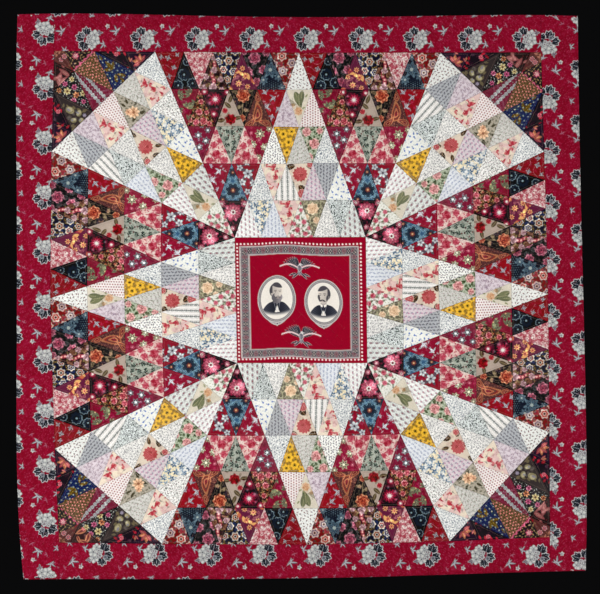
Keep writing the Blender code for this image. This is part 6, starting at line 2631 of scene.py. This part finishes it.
# --------------------------------------------------------- hidden layers
def outline_grid(inset, step, names=("nw", "ne", "se", "sw")):
    """Grid over the whole quilt, drawn in from its edge by inset."""
    runs = {k: inset_side(k, inset) for k in SIDES}
    meets = {}
    for k, a, b in (("nw", "left", "top"), ("ne", "top", "right"),
                    ("se", "right", "bottom"), ("sw", "bottom", "left")):
        meets[k] = meet(runs[a][-2], runs[a][-1], runs[b][0], runs[b][1])
    n = int(2.14 / step)
    e = {k: resample(clipped(runs[k], meets[SIDES[k][0]],
                             meets[SIDES[k][1]]), n) for k in SIDES}
    # along x from left to right, then down from top to bottom
    return coons(e["top"], e["bottom"][::-1], e["left"][::-1], e["right"])


SEAMS = []                     # every seam of the pieced top, as segments
for nm, node, A, L, R, cl, slot in UNITS:
    for r in range(1, 6):
        SEAMS.append((A + (L - A) * r / 5, A + (R - A) * r / 5))
    for k in range(0, 5):
        SEAMS.append((A + (R - A) * k / 5, L + (R - L) * k / 5))
        SEAMS.append((A + (L - A) * k / 5, R + (L - R) * k / 5))
for a, b in (("nw", "ne"), ("ne", "se"), ("se", "sw"), ("sw", "nw")):
    SEAMS.append((F[a], F[b]))
    SEAMS.append((M[a], M[b]))


def quilt_lines(P):
    """Distance in mm from each point to the nearest seam's quilting line,
    and the place along it."""
    best = np.full(len(P), 1e9)
    along = np.zeros(len(P))
    for a, b in SEAMS:
        d = b - a
        ln = np.hypot(*d)
        d = d / ln
        lo = np.minimum(a, b) - 0.03
        hi = np.maximum(a, b) + 0.03
        near = np.where(((P > lo) & (P < hi)).all(1))[0]
        if not len(near):
            continue
        q_ = P[near] - a
        t = q_ @ d
        w = np.abs(q_[:, 0] * -d[1] + q_[:, 1] * d[0])
        over_ = np.maximum(np.maximum(-t, t - ln), 0)
        dd = np.hypot(w, over_) * 1000.0
        m_ = dd < best[near]
        best[near[m_]] = dd[m_]
        along[near[m_]] = t[m_] * 1000.0
    return best, along


def in_field(x, z):
    return ((x > F["nw"][0]) & (x < F["ne"][0]) & (z < F["nw"][1])
            & (z > F["sw"][1]))


def back_relief(P):
    x, z = P[:, 0], P[:, 1]
    d, along = quilt_lines(P)
    g1 = groove((x + z) * 707.1 + 5.0, 25.4)
    fld = in_field(x, z)
    off = np.where(fld, np.abs(d - SEAM_LINE), g1)
    al = np.where(fld, along, (x - z) * 707.1)
    return off, al


G = outline_grid(0.0066, 0.02 if QUICK else 0.012)
n_, m_ = G.shape[:2]
P = G.reshape(-1, 2)
dr = drape(P[:, 0], P[:, 1])
fb = np.stack((P[:, 0], -0.0813 - dr, P[:, 1]), 1)
ff = np.stack((P[:, 0], -0.0849 - dr, P[:, 1]), 1)
f1 = facing(fb, grid_faces(n_, m_), 1.0)
f2 = facing(ff, grid_faces(n_, m_), -1.0) + len(P)
ring_ = np.concatenate((np.arange(m_), np.arange(1, n_) * m_ + m_ - 1,
                        (n_ - 1) * m_ + np.arange(m_ - 2, -1, -1),
                        np.arange(n_ - 2, 0, -1) * m_))
nx = np.roll(ring_, -1)
side_f = np.stack((ring_, nx, nx + len(P), ring_ + len(P)), 1)
allf = np.concatenate((f1, f2, side_f))
co = np.concatenate((fb, ff))
ob = new_mesh("batting_layer", co, allf)
bpy.context.view_layer.objects.active = ob


def outward(ob):
    import bmesh
    bm = bmesh.new()
    bm.from_mesh(ob.data)
    bmesh.ops.recalc_face_normals(bm, faces=bm.faces)
    bm.to_mesh(ob.data)
    bm.free()


outward(ob)
dress(ob, "quilt", ["batting"], "batting_cotton", BATTING)
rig.padded(ob, fill=0.15)

# backing: three widths of muslin, quilted with the rest
BACK_SEAM = (-0.365, 0.365)
stepb = 0.016 if QUICK else 0.0052
for nm, x0, x1 in (("left", None, BACK_SEAM[0]),
                   ("centre", BACK_SEAM[0], BACK_SEAM[1]),
                   ("right", BACK_SEAM[1], None)):
    top_run, bot_run = inset_side("top", 0.0046), inset_side("bottom",
                                                             0.0046)
    runs = {k: inset_side(k, 0.0046) for k in SIDES}
    mt = {}
    for k, a, b in (("nw", "left", "top"), ("ne", "top", "right"),
                    ("se", "right", "bottom"), ("sw", "bottom", "left")):
        mt[k] = meet(runs[a][-2], runs[a][-1], runs[b][0], runs[b][1])
    tl = mt["nw"] if x0 is None else crossing(runs["top"], x0)
    bl = mt["sw"] if x0 is None else crossing(runs["bottom"], x0)
    tr = mt["ne"] if x1 is None else crossing(runs["top"], x1)
    br = mt["se"] if x1 is None else crossing(runs["bottom"], x1)
    nx_ = int((tr[0] - tl[0]) / stepb)
    nz_ = int(2.12 / stepb)
    topc = resample(clipped(runs["top"], tl, tr), nx_)
    botc = resample(clipped(runs["bottom"], br, bl), nx_)[::-1]
    lf = (resample(clipped(runs["left"], bl, tl), nz_)[::-1]
          if x0 is None else resample([tl, bl], nz_))
    rg = (resample(clipped(runs["right"], tr, br), nz_)
          if x1 is None else resample([tr, br], nz_))
    G = coons(topc, botc, lf, rg)
    P = G.reshape(-1, 2)
    x, z = P[:, 0], P[:, 1]
    off, al = back_relief(P)
    loft = 1.6 * S(0.5, 11.0, off) - 0.55 * np.exp(-(off / 2.2) ** 2)
    sm = np.full(len(P), 1e9)
    for sx, has in ((x0, x0), (x1, x1)):
        if has is not None:
            sm = np.minimum(sm, np.abs(x - sx) * 1000.0)
    loft = loft - 0.55 * np.exp(-(sm / 2.2) ** 2)
    # keeps clear of the sleeve, which lies against it at the top
    flat_ = S(-0.10, -0.16, z)
    y = BACK_Y - drape(x, z) + (loft - 0.15) * 0.001 * (0.15 + 0.85 * flat_) \
        + pucker(x, z) * 1.1 * flat_
    co = np.stack((x, y, z), 1)
    fs = facing(co, grid_faces(nx_ + 1, nz_ + 1), 1.0)
    ob = new_mesh("backing_cloth_" + nm, co, fs)
    note(ob, np.stack((SEAM_LINE - off, al), 1)[fs].reshape(-1, 2))
    # muslin: each width its own tone, with painted shade in the quilted valleys and along the seams between the widths
    tone = {"left": 1.0, "centre": 0.965, "right": 1.02}[nm]
    mm = x * 1000.0, z * 1000.0
    shade = tone * (1.0 - 0.26 * np.exp(-(off / 2.0) ** 2)
                    - 0.30 * np.exp(-(sm / 1.6) ** 2))
    shade = shade * (1.0 + 0.16 * (fbm(*mm, 150.0, 71, 3) - 0.5)
                     + 0.10 * (fbm(*mm, 18.0, 73, 2) - 0.5))
    rim_ = np.minimum(np.minimum(x - P[:, 0].min() + (1.0 if x0 is not None
                                                      else 0.0),
                                 P[:, 0].max() - x + (1.0 if x1 is not None
                                                      else 0.0)),
                      np.minimum(z - bl[1], tl[1] - z))
    shade = shade * (1.0 - 0.10 * np.exp(-np.clip(rim_, 0, None) / 0.06))
    rgb = plain(x, (212, 202, 178)) * shade[:, None]
    fox = S(0.66, 0.80, fbm(*mm, 70.0, 79, 3))
    rgb = over(rgb, fox * 0.35, (176, 146, 104))
    paint(ob, np.clip(rgb, 0, 250)[fs].reshape(-1, 3))
    planar_uv(ob, fs, co)
    dress(ob, "quilt", ["backing_" + nm], "muslin", MUSLIN,
          dict(flat=(float(tr[0] - tl[0]), float(tl[1] - bl[1])),
               held="hung", rests_on=["rod"]))


# the edge: the chintz folded over the three layers
def fold(side):
    a, b = SIDES[side]
    n = 240 if QUICK else 900
    t = np.linspace(0, 1, n + 1)
    p = side_run(side, a, b, t)
    d = np.gradient(p, axis=0)
    d = d / np.hypot(d[:, 0], d[:, 1])[:, None]
    out = np.stack((-d[:, 1], d[:, 0]), 1)
    # mitre: at each end the cross-section leans along the corner's bisector
    oa = {"top": ("left", "right"), "right": ("top", "bottom"),
          "bottom": ("right", "left"), "left": ("bottom", "top")}[side]
    o0 = inset_dir(oa[0], 1.0)
    o1 = inset_dir(oa[1], 0.0)
    e0 = out[0] + o0
    e1 = out[-1] + o1
    e0, e1 = e0 / (e0 @ out[0]), e1 / (e1 @ out[-1])
    lean = out.copy()
    lean[0], lean[-1] = e0, e1
    # profile: (inset from the rim, share of the way from front to back)
    prof = [(6.4, 0.0), (4.6, -0.035), (2.8, -0.03), (1.3, 0.04),
            (0.45, 0.16), (0.05, 0.34), (0.0, 0.52), (0.25, 0.72),
            (1.0, 0.90), (2.4, 0.985), (4.4, 1.0), (6.2, 0.985)]
    rows = []
    for ins, share in prof:
        q_ = p - lean * (ins / 1000.0)
        x, z = q_[:, 0], q_[:, 1]
        dr_ = drape(x, z)
        pk = pucker(x, z)
        yf = TOP_Y - dr_ - pk - 0.00075
        yb = QUILT_BACK - dr_ + 0.0
        y = yf + (yb - yf) * share
        wob = 0.00035 * np.sin(2 * PI * t * 190 + 3 * np.sin(t * 90))
        y = y - wob * (1 - abs(2 * share - 1)) * 0.5
        rows.append(np.stack((x, y, z), 1))
    co = np.stack(rows, 1)
    m = len(prof)
    co = co.reshape(-1, 3)
    P = co[:, (0, 2)]
    inner, outer, flower = BORDERS[side]
    dd = {"top": (1.0, 0.0), "right": (0.0, -1.0), "bottom": (-1.0, 0.0),
          "left": (0.0, 1.0)}[side]
    dd = np.array(dd)
    oo = np.array((-dd[1], dd[0]))
    rel = (P - np.array(flower)) * 1000.0
    u, v = rel @ dd, rel @ oo
    drift = {"top": 0.0, "right": -0.0027, "bottom": 0.004,
             "left": -0.003}[side]
    # the print runs on round the fold
    extra = np.tile(np.array([max(0.0, s_) * 6.0 + (
        6.4 - i_ if s_ > 0.5 else 0.0) * 0.0 for i_, s_ in prof]), n + 1)
    rgb = chintz(u, v + drift * u + extra, 1)
    # painted shade along the binding's seam on the front
    line = np.tile(np.array([6.4 - i_ if s_ < 0.5 else 99.0
                             for i_, s_ in prof]), n + 1)
    rgb = rgb * (1.0 - 0.25 * np.exp(-(line / 0.9) ** 2))[:, None]
    faces = grid_faces(n + 1, m)
    ob = new_mesh("folded_binding_" + side, co, faces)
    # outward: the front lip's normals face the viewer
    f0 = faces[(n // 2) * (m - 1) + 1]
    a_, b_, c_ = co[f0[0]], co[f0[1]], co[f0[2]]
    if np.cross(b_ - a_, c_ - a_)[1] > 0:
        ob.data.flip_normals()
        faces = faces[:, ::-1]
    vi = np.zeros(len(ob.data.loops), np.int32)
    ob.data.loops.foreach_get("vertex_index", vi)
    paint(ob, rgb[vi])
    note(ob, np.stack((np.tile(np.array([
        SEAM_LINE - (i_ - 4.9) if s_ > 0.5 else 99.0 for i_, s_ in prof]),
        n + 1), np.repeat(t * 2100.0, m)), 1)[vi])
    i, j = np.divmod(vi.reshape(-1, 4), m)
    per = math.ceil(n / 4)
    row = i.min(1) // per
    lu = (i - row[:, None] * per) / per * 0.98 + 0.01
    lv = (row[:, None] + 0.02 + 0.96 * j / (m - 1)) / 4 * 0.16
    bake_uv(ob, np.stack((lu, lv), 2).reshape(-1, 2))
    L_ = float(np.hypot(*np.diff(p, axis=0).T).sum())
    dress(ob, "quilt", ["binding_" + side], "binding_cotton", RED,
          dict(flat=(0.020, L_), held="folded", rests_on=["rod"]))


def inset_dir(side, end):
    """Outward normal of a side at its start (0) or end (1)."""
    a, b = SIDES[side]
    p = side_run(side, a, b, [0.0, 0.001] if end == 0.0 else [0.999, 1.0])
    d = p[1] - p[0]
    d = d / np.hypot(*d)
    return np.array((-d[1], d[0]))


for side in SIDES:
    fold(side)


# --------------------------------------------------------- hanging sleeve
def sleeve():
    ri = ROD_R + 0.0005

    def loop(grow):
        r = ri + grow
        f = ROD_Y - ri - grow
        pts = [(f, -0.078 + 0.0015 - grow * 1.2),
               (f, 0.030 - 0.0015 + grow * 0.8),
               (f + 0.0035 + grow * 0.9, 0.030 - 0.0025 + grow * 0.7)]
        for i in range(0, 15):
            a = math.radians(84.0 - i * 7.5)
            pts.append((ROD_Y + r * math.cos(a), r * math.sin(a)))
        pts.append((f + 0.0040 + grow * 1.1, -0.078 + 0.0025 - grow))
        return np.array(pts)
    k = 96
    out_, in_ = (resample(np.concatenate((l_, l_[:1])), k)[:-1]
                 for l_ in (loop(0.0015), loop(0.0002)))
    nx_ = 60 if QUICK else 260
    xs = np.linspace(-0.972, 0.972, nx_ + 1)
    X = np.repeat(xs, k)
    O = np.tile(out_, (nx_ + 1, 1))
    I = np.tile(in_, (nx_ + 1, 1))
    # free cloth behind and below the rod wrinkles; the front lies flat
    free = S(-0.079 + 0.004, -0.079 + 0.012, O[:, 0]) * S(0.012, -0.012,
                                                          O[:, 1])
    w = (np.sin(2 * PI * (X / 0.19 + 0.2)) + 0.6 * np.sin(
        2 * PI * (X / 0.083 + O[:, 1] * 3.0)) + 0.5 * np.sin(
            2 * PI * (X / 0.047 - O[:, 1] * 2.0)))
    dy = 0.0011 * w * free * S(-0.078, -0.060, O[:, 1]) * S(
        0.0, -0.02, O[:, 1])
    dy = np.clip(dy, -0.0008, 0.0022)
    edge = np.minimum(X + 0.972, 0.972 - X)
    hem = 0.00045 * (1 - S(0.010, 0.0125, edge)) * free
    co = np.concatenate((
        np.stack((X, O[:, 0] + dy + hem, O[:, 1]), 1),
        np.stack((X, I[:, 0] + dy, I[:, 1]), 1)))
    nv = (nx_ + 1) * k
    i, j = np.meshgrid(np.arange(nx_), np.arange(k), indexing="ij")
    a = (i * k + j).ravel()
    b = (i * k + (j + 1) % k).ravel()
    f1 = np.stack((a, b, b + k, a + k), 1)
    f2 = f1[:, ::-1] + nv
    caps = []
    for base, flip in ((0, False), (nx_ * k, True)):
        j = np.arange(k)
        q_ = np.stack((base + j, base + (j + 1) % k,
                       base + (j + 1) % k + nv, base + j + nv), 1)
        caps.append(q_[:, ::-1] if not flip else q_)
    faces = np.concatenate((f1, f2, *caps))
    ob = new_mesh("hanging_sleeve", co, faces)
    outward(ob)
    vi = np.zeros(len(ob.data.loops), np.int32)
    ob.data.loops.foreach_get("vertex_index", vi)
    e = np.concatenate((edge, edge)) * 1000.0
    note(ob, np.stack((SEAM_LINE - np.abs(e - 10.5), np.tile(np.tile(
        np.arange(k) * 2.6, nx_ + 1), 2)), 1)[vi])
    per = np.hypot(*np.diff(np.concatenate((out_, out_[:1])),
                            axis=0).T).sum()
    dress(ob, "quilt", ["sleeve"], "muslin", SLEEVE,
          dict(flat=(1.944, float(per)), held="stretched",
               rests_on=["rod"]))


sleeve()

# whip stitches that hold the sleeve's two edges to the backing
def stitches():
    cos, fs = [], []
    base = 0
    ringn = 6
    for zc, sgn in ((0.0298, 1.0), (-0.0786, -1.0)):
        xs = np.arange(-0.965, 0.9651, 0.0092)
        for i, x0 in enumerate(xs):
            L_ = 0.0042 + 0.0008 * (rnd(i, 3) - 0.5)
            lean = 0.0022 * sgn + 0.0006 * (rnd(i, 7) - 0.5)
            for s_ in range(5):
                t = s_ / 4.0
                cx = x0 + lean * (t - 0.5)
                cz = zc + sgn * L_ * (t - 0.35) * 0.8
                cy = -0.07935 + 0.00050 * math.sin(PI * t)
                r_ = 0.00022 if 0 < s_ < 4 else 0.00008
                for k in range(ringn):
                    a = 2 * PI * k / ringn
                    cos.append((cx + r_ * math.cos(a), cy + r_
                                * math.sin(a), cz))
            for s_ in range(4):
                for k in range(ringn):
                    k2 = (k + 1) % ringn
                    fs.append((base + s_ * ringn + k,
                               base + s_ * ringn + k2,
                               base + (s_ + 1) * ringn + k2,
                               base + (s_ + 1) * ringn + k))
            fs_a = [base + k for k in range(ringn)]
            fs_b = [base + 4 * ringn + k for k in range(ringn)]
            fs.append((fs_a[0], fs_a[1], fs_a[2], fs_a[3]))
            fs.append((fs_a[0], fs_a[3], fs_a[4], fs_a[5]))
            fs.append((fs_b[0], fs_b[1], fs_b[2], fs_b[3]))
            fs.append((fs_b[0], fs_b[3], fs_b[4], fs_b[5]))
            base += 5 * ringn
    ob = new_mesh("sleeve_whip_stitches", np.array(cos), np.array(fs))
    outward(ob)
    dress(ob, "quilt", [], "muslin", THREAD)


THREAD = fluff("cotton_thread", (0.78, 0.73, 0.62))
stitches()

# ------------------------------------------------------------------ the stage
floor_me = bpy.data.meshes.new("floor")
import bmesh
bm = bmesh.new()
bmesh.ops.create_grid(bm, x_segments=8, y_segments=8, size=1.0)
bm.to_mesh(floor_me)
bm.free()
floor = bpy.data.objects.new("floor", floor_me)
scene.collection.objects.link(floor)
floor.scale = (3.1, 2.5, 1.0)
floor.location = (0.0, -0.6, -2.35)
fm, nt, bs = tree("grey_floor")
tc = nt.nodes.new("ShaderNodeTexCoord")
fn_ = N_(nt, "TexNoise", Scale=3.0, Detail=4.0)
nt.links.new(tc.outputs["Object"], fn_.inputs["Vector"])
nt.links.new(mix(nt, fn_.outputs["Fac"], (0.30, 0.295, 0.29),
                 (0.34, 0.335, 0.33)), bs.inputs["Base Color"])
bs.inputs["Roughness"].default_value = 0.75
floor.data.materials.append(fm)
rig.stage(floor)

world = bpy.data.worlds.new("studio")
scene.world = world
world.use_nodes = True
wn = world.node_tree
wn.nodes.clear()
wo = wn.nodes.new("ShaderNodeOutputWorld")
bg = wn.nodes.new("ShaderNodeBackground")
bg.inputs[0].default_value = (0.0030, 0.0030, 0.0032, 1.0)
bg.inputs[1].default_value = 1.0
wn.links.new(bg.outputs[0], wo.inputs[0])


def area(name, loc, aim, size, power, tint=(1.0, 1.0, 1.0)):
    d = bpy.data.lights.new(name, "AREA")
    d.shape = "RECTANGLE"
    d.size, d.size_y = size
    d.energy = power
    d.color = tint
    o = bpy.data.objects.new(name, d)
    scene.collection.objects.link(o)
    o.location = loc
    o.rotation_euler = (Vector(aim) - Vector(loc)).to_track_quat(
        "-Z", "Y").to_euler()
    o.visible_camera = False
    return o


MID = (0.0, -0.08, -1.0)
area("key_left", (-4.7, -3.7, -1.1), MID, (1.5, 2.6), KEY * 1.27)
area("key_right", (4.7, -3.9, -1.3), MID, (1.5, 2.6), KEY * 0.95)
area("fill_front", (0.0, -7.0, 0.4), MID, (4.0, 3.0), KEY * 0.22)
area("back_left", (-5.6, 3.1, 1.7), MID, (1.8, 1.8), KEY * 1.15)
area("back_right", (4.4, 5.6, 1.4), MID, (2.2, 2.2), KEY * 0.56)
area("top", (0.0, 0.6, 3.6), (0.0, 0.0, 0.0), (2.4, 1.6), KEY * 0.22)

scene.view_settings.view_transform = "Standard"
scene.view_settings.look = "None"
scene.view_settings.exposure = 0.0
scene.view_settings.gamma = 1.0

bpy.context.view_layer.update()
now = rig.bounds()
json.dump({"cad": [[float(v) for v in c] for c in CAD_BOX],
           "visual": [[float(v) for v in c] for c in now]},
          open("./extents.json", "w"))
